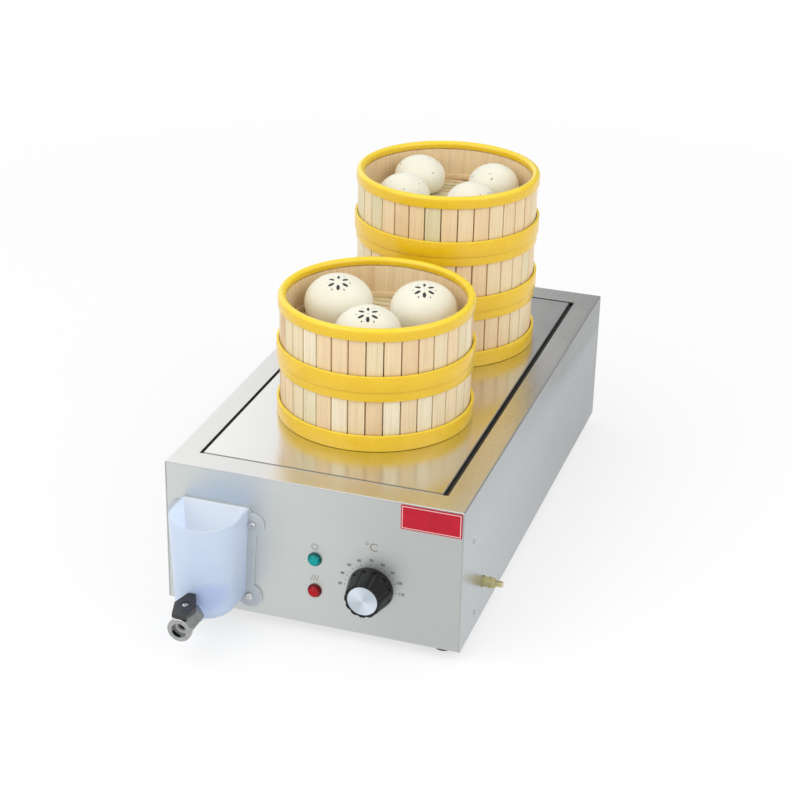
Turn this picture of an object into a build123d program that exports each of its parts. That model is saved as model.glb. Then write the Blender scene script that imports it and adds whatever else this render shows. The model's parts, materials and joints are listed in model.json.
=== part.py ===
from build123d import *
import os
from math import cos, pi, radians, sin, sqrt

# A tabletop bun steamer: a stainless casing over a shallow heated tank, a lift-off
# steam plate with two holes, two stacks of bamboo steamer tiers and their buns.
# Places are given from the casing's front left bottom corner: x to the right,
# y to the back, z up.  The model's own origin is the middle of its box, at the floor.

os.makedirs("parts", exist_ok=True)

# Casing and sheet metal
casing_width = 300.0
casing_depth = 560.0
casing_height = 150.5
sheet = 1.2
bend_radius = 2.0
seam = 0.15
rim_left = 24.5
rim_right = 24.3
rim_front = 26.5
rim_back = 30.5
lip_depth = 12.0
panel_return = 55.0
rear_return = 15.0
base_flange = 12.0

# Clearances
rest_gap = 0.3
running_gap = 0.05
slip_gap = 0.2

# Feet
foot_radius = 9.5
foot_height = 11.0
foot_inset = 22.0
foot_stem_radius = 4.0
foot_barb_radius = 5.2
head_taper = 30.0

# Tank
tank_ledge = 10.0
tank_flange = 8.0
tank_floor = 80.0
tank_corner = 12.0
tank_edge = 6.0

# Steam plate
plate_gap_left = 3.0
plate_gap_right = 5.5
plate_gap_front = 0.8
plate_gap_back = 2.5
steam_hole_radius = 68.0
steam_hole_spacing = 213.0

# Heater
heater_radius = 4.0
heater_lift = 12.0
heater_half_width = 45.0
heater_front = 80.0
heater_back_inset = 90.0
heater_bend = 14.0
heater_tail = 22.0
heater_nut_flats = 16.0
heater_nut_height = 5.0

# Thermostat, dial and knob
dial_inset = 90.0
dial_z = 51.6
shaft_radius = 3.0
thermostat_size = 38.0
thermostat_depth = 26.0
bush_radius = 5.5
knob_base_radius = 22.7
knob_front_radius = 17.8
knob_length = 23.5
knob_panel_gap = 1.0
knob_skirt = 3.0
knob_flutes = 12
flute_radius = 4.0
flute_depth = 1.1
cap_radius = 15.0
cap_thickness = 1.0
pointer_width = 1.4

# Temperature sensor
bulb_radius = 3.0
bulb_length = 80.0
bulb_offset = 14.0
bulb_y = 120.0
capillary_radius = 1.0
capillary_bend = 12.0
capillary_run = 22.0
capillary_drop = 34.0
terminal_x = 8.0
terminal_z = 12.0
clip_wall = 1.2
clip_length = 10.0

# Pilot lamps
lamp_offset = 56.4
lamp_low_z = 38.1
lamp_pitch = 34.5
lamp_body_radius = 5.6
lamp_body_length = 26.0
lens_radius = 7.0
lens_flange = 1.4
lens_shoulder = 2.8
lens_dome_radius = 4.0
lens_dome_height = 2.2

# Name plate
name_plate_width = 59.4
name_plate_height = 25.4
name_plate_thickness = 0.8
name_plate_inset = 31.8
name_plate_top = 0.9

# Water box
box_x = 52.6
box_bottom = 14.5
box_top = 116.0
box_half_top = 34.3
box_half_bottom = 30.0
box_depth_top = 61.5
box_depth_bottom = 57.5
box_wall = 2.0
box_edge = 11.0
box_flange_reach = 8.0
box_flange_thickness = 2.5
ear_radius = 12.4
ear_reach_top = 37.6
ear_reach_bottom = 34.2
ear_top_z = 98.5
ear_bottom_z = 19.5
box_screw_radius = 1.8
box_screw_head = 3.8
box_screw_head_height = 2.2
box_screw_length = 9.0
feed_z = 25.5
boss_radius = 11.0

# Feed pipe
pipe_radius = 6.5
pipe_bore = 4.5
pipe_bend = 18.0
pipe_turn_y = 58.0
feed_nut_flats = 17.0
feed_nut_height = 5.0
pipe_end_in_box = 9.0

# Drain valve
valve_shoulder = 60.0
valve_front = 92.5
valve_flats = 20.6
valve_collar_radius = 12.0
valve_collar_length = 5.0
valve_thread_radius = 6.5
valve_thread_length = 9.0
outlet_radius = 7.5
outlet_depth = 10.0
ball_radius = 7.2
port_radius = 4.8
seat_radius = 8.0
seat_reach = 8.0
seat_start = 4.6
stem_radius = 3.0
neck_radius = 5.6
neck_top = 14.0
tang_width = 3.0
tang_length = 8.0
tang_depth = 2.6
handle_length = 32.0
handle_width = 22.4
handle_front_width = 14.0
handle_back_width = 8.0
handle_underside = 12.8
handle_front_top = 17.5
handle_back_top = 23.0
handle_bore_top = 15.6
handle_screw_head = 3.4
handle_screw_head_height = 2.0
handle_screw_radius = 1.6

# Earth stud and side rivets
stud_y = 75.4
stud_z = 36.5
stud_radius = 3.0
stud_reach = 20.0
stud_inside = 14.0
stud_nut_flats = 10.0
stud_nut_height = 5.0
stud_washer_radius = 6.0
stud_washer_height = 1.5
rivet_places = [(37.0, 101.4), (48.0, 17.0)]
rivet_head_radius = 2.4
rivet_head = 0.8
rivet_radius = 1.6
rivet_length = 5.0

# Cable gland
gland_x = 60.0
gland_z = 34.0
gland_reach = 20.0
gland_flats = 20.0
gland_flange = 5.0
gland_thread_radius = 7.5
gland_inside = 12.0
gland_nut_height = 5.0
gland_bore = 4.0
gland_dome_radius = 9.0

# Wires
wire_radius = 1.2
wire_spacing = 2.0
wire_start = 2.0
wire_bend_share = 0.45

# Steamer tiers
tier_height = 65.0
nest_depth = 2.5
stave_count = 35
stave_inner = 91.7
stave_thickness = 4.6
stave_gap = 0.3
channel_gap = 0.3
top_rim_wall = 1.4
top_band = 12.5
top_inner_leg = 7.5
bottom_band = 16.5
bottom_rim_wall = 2.9
bottom_web = 3.0
bottom_leg = 2.0
shelf_reach = 7.0
shelf_top = 11.0
shelf_thickness = 2.0
floor_top = 22.0
slat_thickness = 3.0
slat_width = 9.0
slat_pitch = 11.0
batten_width = 12.0
batten_pitch = 60.0
batten_count = 3

front_stack_offset = (1.95, -96.05)
back_stack_offset = (8.95, 116.85)

# Buns: place from the middle of the tier, and radius
front_buns = {"left": (-45.5, 14.2, 35.1), "right": (40.0, 28.4, 34.2), "near": (7.6, -48.9, 33.7)}
back_buns = {
    "far_left": (-43.9, 38.4, 28.7),
    "near_left": (-41.6, -24.3, 27.9),
    "far_right": (39.6, 40.6, 28.3),
    "near_right": (33.1, -23.0, 27.2),
}
bun_height_ratio = 1.35
bun_base_ratio = 0.62
bun_waist_ratio = 0.4

# Places worked out from the sizes above
left = -(casing_width + stud_reach - rivet_head) / 2
front = -(casing_depth + gland_reach - valve_front) / 2
bottom = foot_height
opening_width = casing_width - rim_left - rim_right
opening_depth = casing_depth - rim_front - rim_back
opening_x = rim_left + opening_width / 2
opening_y = rim_front + opening_depth / 2
ledge_z = casing_height - lip_depth
plate_width = opening_width - plate_gap_left - plate_gap_right
plate_depth = opening_depth - plate_gap_front - plate_gap_back
plate_x = rim_left + plate_gap_left + plate_width / 2
plate_y = rim_front + plate_gap_front + plate_depth / 2
panel_width = casing_width - 2 * (sheet + seam)
panel_height = casing_height - sheet - seam
tier_pitch = tier_height - nest_depth + rest_gap
channel_inner = stave_inner - channel_gap
stave_corner = (stave_inner + stave_thickness) / cos(pi / stave_count)
channel_outer = stave_corner + slip_gap
top_rim_radius = channel_outer + top_rim_wall
top_rim_inner = channel_inner - top_rim_wall
bottom_rim_radius = channel_outer + bottom_rim_wall
shelf_inner = channel_inner - shelf_reach
rim_bead = (top_rim_radius - top_rim_inner) / 2
bead_start = tier_height - rim_bead
pivot_y = -(valve_shoulder + valve_front) / 2
knob_front_y = -(knob_panel_gap + knob_length)
heater_back = casing_depth - heater_back_inset
dial_x = casing_width - dial_inset
lamp_x = dial_x - lamp_offset
bulb_x = dial_x + bulb_offset
name_plate_x = casing_width - name_plate_inset
front_stack = (plate_x + front_stack_offset[0], plate_y + front_stack_offset[1])
back_stack = (plate_x + back_stack_offset[0], plate_y + back_stack_offset[1])


def spot(x, y, z):
    """A point in the model's frame from its place on the casing."""
    return (left + x, front + y, bottom + z)


def facing_up(x, y, z):
    return Plane(origin=spot(x, y, z), x_dir=(1, 0, 0), z_dir=(0, 0, 1))


def facing_front(x, y, z):
    return Plane(origin=spot(x, y, z), x_dir=(1, 0, 0), z_dir=(0, -1, 0))


def facing_back(x, y, z):
    return Plane(origin=spot(x, y, z), x_dir=(-1, 0, 0), z_dir=(0, 1, 0))


def facing_right(x, y, z):
    return Plane(origin=spot(x, y, z), x_dir=(0, 1, 0), z_dir=(1, 0, 0))


def facing_left(x, y, z):
    return Plane(origin=spot(x, y, z), x_dir=(0, -1, 0), z_dir=(-1, 0, 0))


def keep(piece, name):
    """Label a finished piece and write its STEP file."""
    piece.part.label = name
    export_step(piece.part, f"parts/{name}.step")


def hexagon(flats):
    """The corner radius of a hexagon that is this wide across its flats."""
    return flats / sqrt(3)


# Casing: the top and both sides are one bent sheet
with BuildPart() as casing:
    with BuildSketch(facing_back(casing_width / 2, 0, casing_height / 2)):
        Rectangle(casing_width, casing_height)
    extrude(amount=casing_depth)
    fillet(casing.edges().filter_by(Axis.Y).group_by(Axis.Z)[-1], bend_radius)
    with BuildSketch(facing_back(casing_width / 2, 0, 0)) as hollow:
        Rectangle(casing_width - 2 * sheet, 2 * (casing_height - sheet))
    extrude(amount=casing_depth, mode=Mode.SUBTRACT)
    with BuildSketch(facing_up(opening_x, opening_y, ledge_z)):
        RectangleRounded(opening_width + 2 * sheet, opening_depth + 2 * sheet, bend_radius)
    extrude(amount=lip_depth - sheet / 2)
    with BuildSketch(facing_up(opening_x, opening_y, ledge_z)):
        RectangleRounded(opening_width, opening_depth, bend_radius - sheet)
    extrude(amount=lip_depth, mode=Mode.SUBTRACT)
    for y, z in rivet_places:
        with Locations(facing_right(0, y, z), facing_left(casing_width, y, z)):
            Hole(rivet_radius, 2 * sheet)
    with Locations(facing_right(casing_width, stud_y, stud_z)):
        Hole(stud_radius + slip_gap, 2 * sheet)
keep(casing, "casing")

# Front panel: a sheet with side returns that the rivets hold inside the casing
box_screws = [
    (box_x + side * reach, z)
    for side in (-1, 1)
    for reach, z in ((ear_reach_top, ear_top_z), (ear_reach_bottom, ear_bottom_z))
]
lamp_places = [lamp_low_z, lamp_low_z + lamp_pitch]
with BuildPart() as front_panel:
    with BuildSketch(facing_up(casing_width / 2, panel_return / 2, 0)):
        Rectangle(panel_width, panel_return)
    extrude(amount=panel_height)
    with BuildSketch(facing_up(casing_width / 2, panel_return / 2 + sheet, 0)):
        Rectangle(panel_width - 2 * sheet, panel_return)
    extrude(amount=panel_height, mode=Mode.SUBTRACT)
    with Locations(facing_front(dial_x, 0, dial_z)):
        Hole(bush_radius + slip_gap, 2 * sheet)
    with Locations(*[facing_front(lamp_x, 0, z) for z in lamp_places]):
        Hole(lamp_body_radius + slip_gap, 2 * sheet)
    with Locations(facing_front(box_x, 0, feed_z)):
        Hole(pipe_radius + slip_gap, 2 * sheet)
    with Locations(*[facing_front(x, 0, z) for x, z in box_screws]):
        Hole(box_screw_radius + running_gap, 2 * sheet)
    for y, z in rivet_places:
        with Locations(facing_right(0, y, z), facing_left(casing_width, y, z)):
            Hole(rivet_radius, 3 * sheet)
keep(front_panel, "front_panel")

# Rear panel
with BuildPart() as rear_panel:
    with BuildSketch(facing_up(casing_width / 2, casing_depth - rear_return / 2, 0)):
        Rectangle(panel_width, rear_return)
    extrude(amount=panel_height)
    with BuildSketch(facing_up(casing_width / 2, casing_depth - rear_return / 2 - sheet, 0)):
        Rectangle(panel_width - 2 * sheet, rear_return)
    extrude(amount=panel_height, mode=Mode.SUBTRACT)
    with Locations(facing_back(gland_x, casing_depth, gland_z)):
        Hole(gland_thread_radius + slip_gap, 2 * sheet)
keep(rear_panel, "rear_panel")

# Base plate: a shallow tray between the panels, with a hole over each foot
base_width = panel_width - 2 * (sheet + seam)
base_depth = casing_depth - 2 * (sheet + seam)
foot_places = [
    (x, y)
    for x in (foot_inset, casing_width - foot_inset)
    for y in (foot_inset, casing_depth - foot_inset)
]
with BuildPart() as base_plate:
    with BuildSketch(facing_up(casing_width / 2, casing_depth / 2, 0)):
        Rectangle(base_width, base_depth)
    extrude(amount=base_flange)
    with BuildSketch(facing_up(casing_width / 2, casing_depth / 2, sheet)):
        Rectangle(base_width - 2 * sheet, base_depth - 2 * sheet)
    extrude(amount=base_flange, mode=Mode.SUBTRACT)
    with Locations(*[facing_up(x, y, sheet) for x, y in foot_places]):
        Hole(foot_stem_radius + running_gap, 2 * sheet)
keep(base_plate, "base_plate")

# Feet: rubber buttons whose stems snap through the base plate
with BuildPart() as feet:
    for x, y in foot_places:
        with BuildSketch(facing_up(x, y, -foot_height)):
            Circle(foot_radius)
        extrude(amount=foot_height)
        with BuildSketch(facing_up(x, y, 0)):
            Circle(foot_stem_radius)
        extrude(amount=sheet + slip_gap)
        with BuildSketch(facing_up(x, y, sheet + slip_gap)):
            Circle(foot_barb_radius)
        extrude(amount=2 * sheet, taper=head_taper)
    chamfer(feet.edges().group_by(Axis.Z)[0], sheet)
keep(feet, "feet")

# Tank: a pressed basin whose flange hangs under the casing's lip
mouth_width = opening_width - 2 * tank_ledge
mouth_depth = opening_depth - 2 * tank_ledge
heater_legs = [plate_x - heater_half_width, plate_x + heater_half_width]
clip_bore = bulb_radius + running_gap
bulb_z = tank_floor - sheet - clip_bore
clip_places = [bulb_y + bulb_length / 4, bulb_y + bulb_length * 3 / 4]
with BuildPart() as basin:
    with BuildSketch(facing_up(opening_x, opening_y, tank_floor)):
        RectangleRounded(mouth_width, mouth_depth, tank_corner)
    extrude(amount=ledge_z - tank_floor)
    fillet(basin.edges().group_by(Axis.Z)[0], tank_edge)
with BuildPart() as tank:
    with BuildSketch(facing_up(opening_x, opening_y, tank_floor - sheet)):
        RectangleRounded(mouth_width + 2 * sheet, mouth_depth + 2 * sheet, tank_corner + sheet)
    extrude(amount=ledge_z - tank_floor + sheet)
    fillet(tank.edges().group_by(Axis.Z)[0], tank_edge + sheet)
    with BuildSketch(facing_up(opening_x, opening_y, ledge_z - sheet)):
        RectangleRounded(
            opening_width + 2 * tank_flange, opening_depth + 2 * tank_flange, tank_flange
        )
    extrude(amount=sheet)
    for y in clip_places:
        with BuildSketch(facing_back(bulb_x, y - clip_length / 2, bulb_z)):
            with Locations((0, -clip_wall / 2)):
                Rectangle(2 * (clip_bore + clip_wall), 2 * clip_bore + clip_wall)
            Circle(clip_bore, mode=Mode.SUBTRACT)
            with Locations((0, clip_bore / 2)):
                Rectangle(2 * clip_bore, clip_bore, mode=Mode.SUBTRACT)
        extrude(amount=clip_length)
    add(basin.part, mode=Mode.SUBTRACT)
    with Locations(*[facing_up(x, heater_front, tank_floor) for x in heater_legs]):
        Hole(heater_radius + slip_gap, 2 * sheet)
    with Locations(facing_up(box_x, pipe_turn_y, tank_floor)):
        Hole(pipe_radius + running_gap, 2 * sheet)
keep(tank, "tank")

# Steam plate: a lift-off lid with turned-down edges and a hole under each stack
with BuildPart() as steam_plate:
    with BuildSketch(facing_up(plate_x, plate_y, ledge_z + rest_gap)):
        RectangleRounded(plate_width, plate_depth, bend_radius)
    extrude(amount=lip_depth - rest_gap)
    fillet(steam_plate.edges().group_by(Axis.Z)[-1], sheet)
    with BuildSketch(facing_up(plate_x, plate_y, ledge_z + rest_gap)):
        RectangleRounded(plate_width - 2 * sheet, plate_depth - 2 * sheet, bend_radius - sheet)
    extrude(amount=lip_depth - rest_gap - sheet, mode=Mode.SUBTRACT)
    hole_ys = [plate_y - steam_hole_spacing / 2, plate_y + steam_hole_spacing / 2]
    with Locations(*[facing_up(plate_x, y, casing_height) for y in hole_ys]):
        Hole(steam_hole_radius, 2 * sheet)
keep(steam_plate, "steam_plate")

# Heater: one sheathed tube, up through the floor, to the back and round again
heater_z = tank_floor + heater_lift
leg_end = tank_floor - sheet - heater_tail
with BuildPart() as heater_tube:
    with BuildLine() as heater_path:
        FilletPolyline(
            spot(heater_legs[0], heater_front, leg_end),
            spot(heater_legs[0], heater_front, heater_z),
            spot(heater_legs[0], heater_back, heater_z),
            spot(heater_legs[1], heater_back, heater_z),
            spot(heater_legs[1], heater_front, heater_z),
            spot(heater_legs[1], heater_front, leg_end),
            radius=[heater_lift - 2 * sheet, 2 * heater_bend, 2 * heater_bend, heater_lift - 2 * sheet],
        )
    with BuildSketch(facing_up(heater_legs[0], heater_front, leg_end)):
        Circle(heater_radius)
    sweep(path=heater_path.wires()[0])
keep(heater_tube, "heater_tube")

# Heater nuts: one under the floor on each leg
with BuildPart() as heater_nuts:
    for x in heater_legs:
        with BuildSketch(facing_up(x, heater_front, tank_floor - sheet - heater_nut_height)):
            RegularPolygon(hexagon(heater_nut_flats), 6)
            Circle(heater_radius + running_gap, mode=Mode.SUBTRACT)
        extrude(amount=heater_nut_height)
keep(heater_nuts, "heater_nuts")

# Thermostat: a square body behind the panel with a round bush through it
with BuildPart() as thermostat_body:
    with BuildSketch(facing_back(dial_x, sheet, dial_z)):
        RectangleRounded(thermostat_size, thermostat_size, bend_radius)
    extrude(amount=thermostat_depth)
    with BuildSketch(facing_front(dial_x, sheet, dial_z)):
        Circle(bush_radius)
    extrude(amount=sheet)
    with BuildSketch(facing_back(dial_x, 0, dial_z)):
        Circle(shaft_radius + running_gap)
    extrude(amount=sheet + thermostat_depth / 2, mode=Mode.SUBTRACT)
keep(thermostat_body, "thermostat_body")

# Thermostat shaft: it turns in the bush and carries the knob
shaft_start = sheet + thermostat_depth / 2 - rest_gap
with BuildPart() as thermostat_shaft:
    with BuildSketch(facing_front(dial_x, shaft_start, dial_z)):
        Circle(shaft_radius)
    extrude(amount=shaft_start - knob_front_y - 2 * cap_thickness - bend_radius)
keep(thermostat_shaft, "thermostat_shaft")

# Knob grip: a fluted cone with a recess for its cap, its pointer down at rest
with BuildPart() as knob_grip:
    with BuildSketch(facing_front(dial_x, -knob_panel_gap, dial_z)):
        Circle(knob_base_radius)
    with BuildSketch(facing_front(dial_x, knob_front_y, dial_z)):
        Circle(knob_front_radius)
    loft()
    slope = (knob_base_radius - knob_front_radius) / knob_length
    for step in range(knob_flutes):
        turn = radians(360 / knob_flutes * (step + 0.5))
        start = knob_base_radius - slope * knob_skirt + flute_radius - flute_depth
        end = knob_front_radius + flute_radius - flute_depth
        for_start = facing_front(
            dial_x + start * cos(turn), -knob_panel_gap - knob_skirt, dial_z + start * sin(turn)
        )
        for_end = facing_front(
            dial_x + end * cos(turn), knob_front_y, dial_z + end * sin(turn)
        )
        with BuildSketch(for_start):
            Circle(flute_radius)
        with BuildSketch(for_end):
            Circle(flute_radius)
        loft(mode=Mode.SUBTRACT)
    with BuildSketch(facing_front(dial_x, knob_front_y + cap_thickness, dial_z)):
        Circle(cap_radius + running_gap)
    extrude(amount=cap_thickness, mode=Mode.SUBTRACT)
    with BuildSketch(facing_front(dial_x, -knob_panel_gap, dial_z)):
        Circle(shaft_radius + running_gap)
    extrude(amount=knob_length - 2 * cap_thickness - bend_radius, mode=Mode.SUBTRACT)
    with BuildSketch(facing_front(dial_x, knob_front_y + cap_thickness, dial_z - knob_front_radius)):
        Rectangle(pointer_width, 2 * (knob_front_radius - cap_radius))
    extrude(amount=cap_thickness, mode=Mode.SUBTRACT)
keep(knob_grip, "knob_grip")

# Knob cap: a spun metal disc in the grip's recess
with BuildPart() as knob_cap:
    with BuildSketch(facing_front(dial_x, knob_front_y + cap_thickness, dial_z)):
        Circle(cap_radius)
    extrude(amount=cap_thickness)
    chamfer(knob_cap.edges().group_by(Axis.Y)[0], cap_thickness / 4)
keep(knob_cap, "knob_cap")

# Pilot lamps: a lens in front of the panel on a body through it
for lens_name, lens_z in zip(("red_lamp_lens", "green_lamp_lens"), lamp_places):
    with BuildPart() as lens:
        with BuildSketch(facing_front(lamp_x, 0, lens_z)):
            Circle(lens_radius)
        extrude(amount=lens_flange)
        with BuildSketch(facing_front(lamp_x, -lens_flange, lens_z)):
            Circle(lens_radius - slip_gap)
        with BuildSketch(facing_front(lamp_x, -lens_shoulder, lens_z)):
            Circle(lens_dome_radius + slip_gap)
        loft()
        with BuildSketch(facing_front(lamp_x, -lens_shoulder, lens_z)):
            Circle(lens_dome_radius)
        extrude(amount=lens_dome_height)
        fillet(lens.edges().group_by(Axis.Y)[0], lens_dome_height - slip_gap)
    keep(lens, lens_name)
with BuildPart() as lamp_bodies:
    for lamp_z in lamp_places:
        with BuildSketch(facing_back(lamp_x, 0, lamp_z)):
            Circle(lamp_body_radius)
        extrude(amount=lamp_body_length)
keep(lamp_bodies, "lamp_bodies")

# Name plate: a bare metal plate bonded to the front panel
name_plate_z = casing_height - sheet - name_plate_top - name_plate_height / 2
with BuildPart() as name_plate:
    with BuildSketch(facing_front(name_plate_x, 0, name_plate_z)):
        RectangleRounded(name_plate_width, name_plate_height, sheet)
    extrude(amount=name_plate_thickness)
keep(name_plate, "name_plate")


def box_shape(floor, wall, back):
    """The water box's drafted form, drawn in by its wall and its back's thickness."""
    levels = ((floor, box_half_bottom, box_depth_bottom), (box_top, box_half_top, box_depth_top))
    with BuildPart() as shape:
        for z, half, depth in levels:
            side = half - wall
            straight = half - depth
            with BuildSketch(facing_up(box_x, 0, z)):
                with BuildLine():
                    Polyline((-side, straight), (-side, -back), (side, -back), (side, straight))
                    ThreePointArc((side, straight), (0, straight - side), (-side, straight))
                make_face()
        loft()
        floor_edges = shape.edges().group_by(Axis.Z)[0].sort_by(Axis.Y)[:-1]
        fillet(floor_edges, box_edge - wall)
    return shape.part


# Water box: a drafted open box with a flange and four ears on its back
box_outside = box_shape(box_bottom, 0, 0)
box_inside = box_shape(box_bottom + box_wall, box_wall, box_flange_thickness)
with BuildPart() as water_box:
    add(box_outside)
    with BuildSketch(facing_front(box_x, -box_depth_bottom + box_edge, feed_z)):
        Circle(boss_radius)
    extrude(amount=valve_shoulder - slip_gap - box_depth_bottom + box_edge)
    with BuildSketch(facing_front(box_x, 0, 0)):
        with BuildLine():
            Polyline(
                (-box_half_bottom - box_flange_reach, box_bottom + box_edge),
                (-box_half_bottom - box_flange_reach, box_bottom),
                (box_half_bottom + box_flange_reach, box_bottom),
                (box_half_bottom + box_flange_reach, box_bottom + box_edge),
                (box_half_top + box_flange_reach, ear_top_z),
                (box_half_top, box_top),
                (-box_half_top, box_top),
                (-box_half_top - box_flange_reach, ear_top_z),
                close=True,
            )
        make_face()
        with Locations(*[(x - box_x, z) for x, z in box_screws]):
            Circle(ear_radius)
    extrude(amount=box_flange_thickness)
    add(box_inside, mode=Mode.SUBTRACT)
    with Locations(*[facing_front(x, -box_flange_thickness, z) for x, z in box_screws]):
        Hole(box_screw_radius + slip_gap, 2 * box_flange_thickness)
    with Locations(facing_front(box_x, -box_flange_thickness, feed_z)):
        Hole(pipe_radius + slip_gap, 2 * box_flange_thickness)
    with BuildSketch(facing_front(box_x, -box_depth_bottom + box_edge, feed_z)):
        Circle(valve_thread_radius + running_gap)
    extrude(amount=box_edge + boss_radius, mode=Mode.SUBTRACT)
keep(water_box, "water_box")

# Water box screws: pan heads on the ears
with BuildPart() as water_box_screws:
    for x, z in box_screws:
        with BuildSketch(facing_front(x, -box_flange_thickness, z)):
            Circle(box_screw_head)
        extrude(amount=box_screw_head_height)
        with BuildSketch(facing_back(x, -box_flange_thickness, z)):
            Circle(box_screw_radius)
        extrude(amount=box_screw_length)
    heads = water_box_screws.edges().filter_by(GeomType.CIRCLE).group_by(Axis.Y)[0]
    fillet(heads, box_screw_head_height / 2)
    for x, z in box_screws:
        with BuildSketch(facing_back(x, -box_flange_thickness - box_screw_head_height, z)):
            Rectangle(2 * box_screw_head - sheet, sheet / 2)
            Rectangle(sheet / 2, 2 * box_screw_head - sheet)
        extrude(amount=sheet / 2, mode=Mode.SUBTRACT)
keep(water_box_screws, "water_box_screws")

# Feed pipe: from the water box through the panel and up into the tank
with BuildPart() as feed_pipe:
    pipe_start = -box_flange_thickness - pipe_end_in_box
    with BuildLine() as pipe_path:
        FilletPolyline(
            spot(box_x, pipe_start, feed_z),
            spot(box_x, pipe_turn_y, feed_z),
            spot(box_x, pipe_turn_y, tank_floor + sheet),
            radius=pipe_bend,
        )
    with BuildSketch(facing_back(box_x, pipe_start, feed_z)):
        Circle(pipe_radius)
        Circle(pipe_bore, mode=Mode.SUBTRACT)
    sweep(path=pipe_path.wires()[0])
keep(feed_pipe, "feed_pipe")

# Feed nuts: one in the water box, one behind the panel
with BuildPart() as feed_nuts:
    for nut_plane in (
        facing_front(box_x, -box_flange_thickness, feed_z),
        facing_back(box_x, sheet, feed_z),
    ):
        with BuildSketch(nut_plane):
            RegularPolygon(hexagon(feed_nut_flats), 6, rotation=0)
            Circle(pipe_radius + running_gap, mode=Mode.SUBTRACT)
        extrude(amount=feed_nut_height)
keep(feed_nuts, "feed_nuts")

# Valve body: hexagon bar with a round outlet end, a neck and a thread into the box
chamber_half = seat_reach + slip_gap
with BuildPart() as valve_body:
    with BuildSketch(facing_front(box_x, -valve_shoulder, feed_z)):
        RegularPolygon(hexagon(valve_flats), 6, rotation=0)
    extrude(amount=valve_front - valve_shoulder - valve_collar_length)
    with BuildSketch(facing_back(box_x, -valve_front, feed_z)):
        Circle(valve_collar_radius)
    extrude(amount=valve_collar_length)
    chamfer(valve_body.edges().group_by(Axis.Y)[0], sheet / 2)
    with BuildSketch(facing_back(box_x, -valve_shoulder, feed_z)):
        Circle(valve_thread_radius)
    extrude(amount=valve_thread_length)
    with BuildSketch(facing_up(box_x, pivot_y, feed_z)):
        Circle(neck_radius)
    extrude(amount=neck_top)
    with BuildSketch(facing_back(box_x, -valve_front, feed_z)):
        Circle(port_radius)
    extrude(amount=valve_front, mode=Mode.SUBTRACT)
    with BuildSketch(facing_back(box_x, -valve_front, feed_z)):
        Circle(outlet_radius)
    extrude(amount=outlet_depth, mode=Mode.SUBTRACT)
    with BuildSketch(facing_back(box_x, pivot_y - chamber_half, feed_z)):
        Circle(seat_radius + running_gap)
    extrude(amount=2 * chamber_half, mode=Mode.SUBTRACT)
    with BuildSketch(facing_up(box_x, pivot_y, feed_z)):
        Circle(stem_radius + running_gap)
    extrude(amount=neck_top, mode=Mode.SUBTRACT)
keep(valve_body, "valve_body")

# Valve seats: two rings that the ball turns against
with BuildPart() as valve_seats:
    for seat_plane in (
        facing_front(box_x, pivot_y - seat_start, feed_z),
        facing_back(box_x, pivot_y + seat_start, feed_z),
    ):
        with BuildSketch(seat_plane):
            Circle(seat_radius)
            Circle(port_radius, mode=Mode.SUBTRACT)
        extrude(amount=seat_reach - seat_start)
    with Locations(spot(box_x, pivot_y, feed_z)):
        Sphere(ball_radius + running_gap, mode=Mode.SUBTRACT)
keep(valve_seats, "valve_seats")

# Valve ball: bored along the pipe, slotted on top for the stem's tang
with BuildPart() as valve_ball:
    with Locations(spot(box_x, pivot_y, feed_z)):
        Sphere(ball_radius)
    with BuildSketch(facing_back(box_x, pivot_y - ball_radius, feed_z)):
        Circle(port_radius - slip_gap)
    extrude(amount=2 * ball_radius, mode=Mode.SUBTRACT)
    with BuildSketch(facing_up(box_x, pivot_y, feed_z + ball_radius - tang_depth)):
        Rectangle(2 * ball_radius, tang_width + 2 * running_gap)
    extrude(amount=tang_depth, mode=Mode.SUBTRACT)
keep(valve_ball, "valve_ball")

# Valve stem: round in the neck, flat where it drives the ball and the handle
stem_top = handle_front_top + running_gap
with BuildPart() as valve_stem:
    with BuildSketch(facing_up(box_x, pivot_y, feed_z + ball_radius + running_gap)):
        Circle(stem_radius)
    extrude(amount=stem_top - ball_radius - running_gap)
    with BuildSketch(facing_up(box_x, pivot_y, feed_z + ball_radius - tang_depth + running_gap)):
        Rectangle(tang_length, tang_width)
        Circle(stem_radius, mode=Mode.INTERSECT)
    extrude(amount=tang_depth)
    with BuildSketch(facing_up(box_x, pivot_y, feed_z + handle_bore_top)):
        Circle(stem_radius)
        Rectangle(2 * stem_radius, 2 * stem_radius - 2 * sheet, mode=Mode.SUBTRACT)
    extrude(amount=stem_top, mode=Mode.SUBTRACT)
    with BuildSketch(facing_up(box_x, pivot_y, feed_z + neck_top)):
        Circle(handle_screw_radius)
    extrude(amount=stem_top, mode=Mode.SUBTRACT)
keep(valve_stem, "valve_stem")

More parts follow.
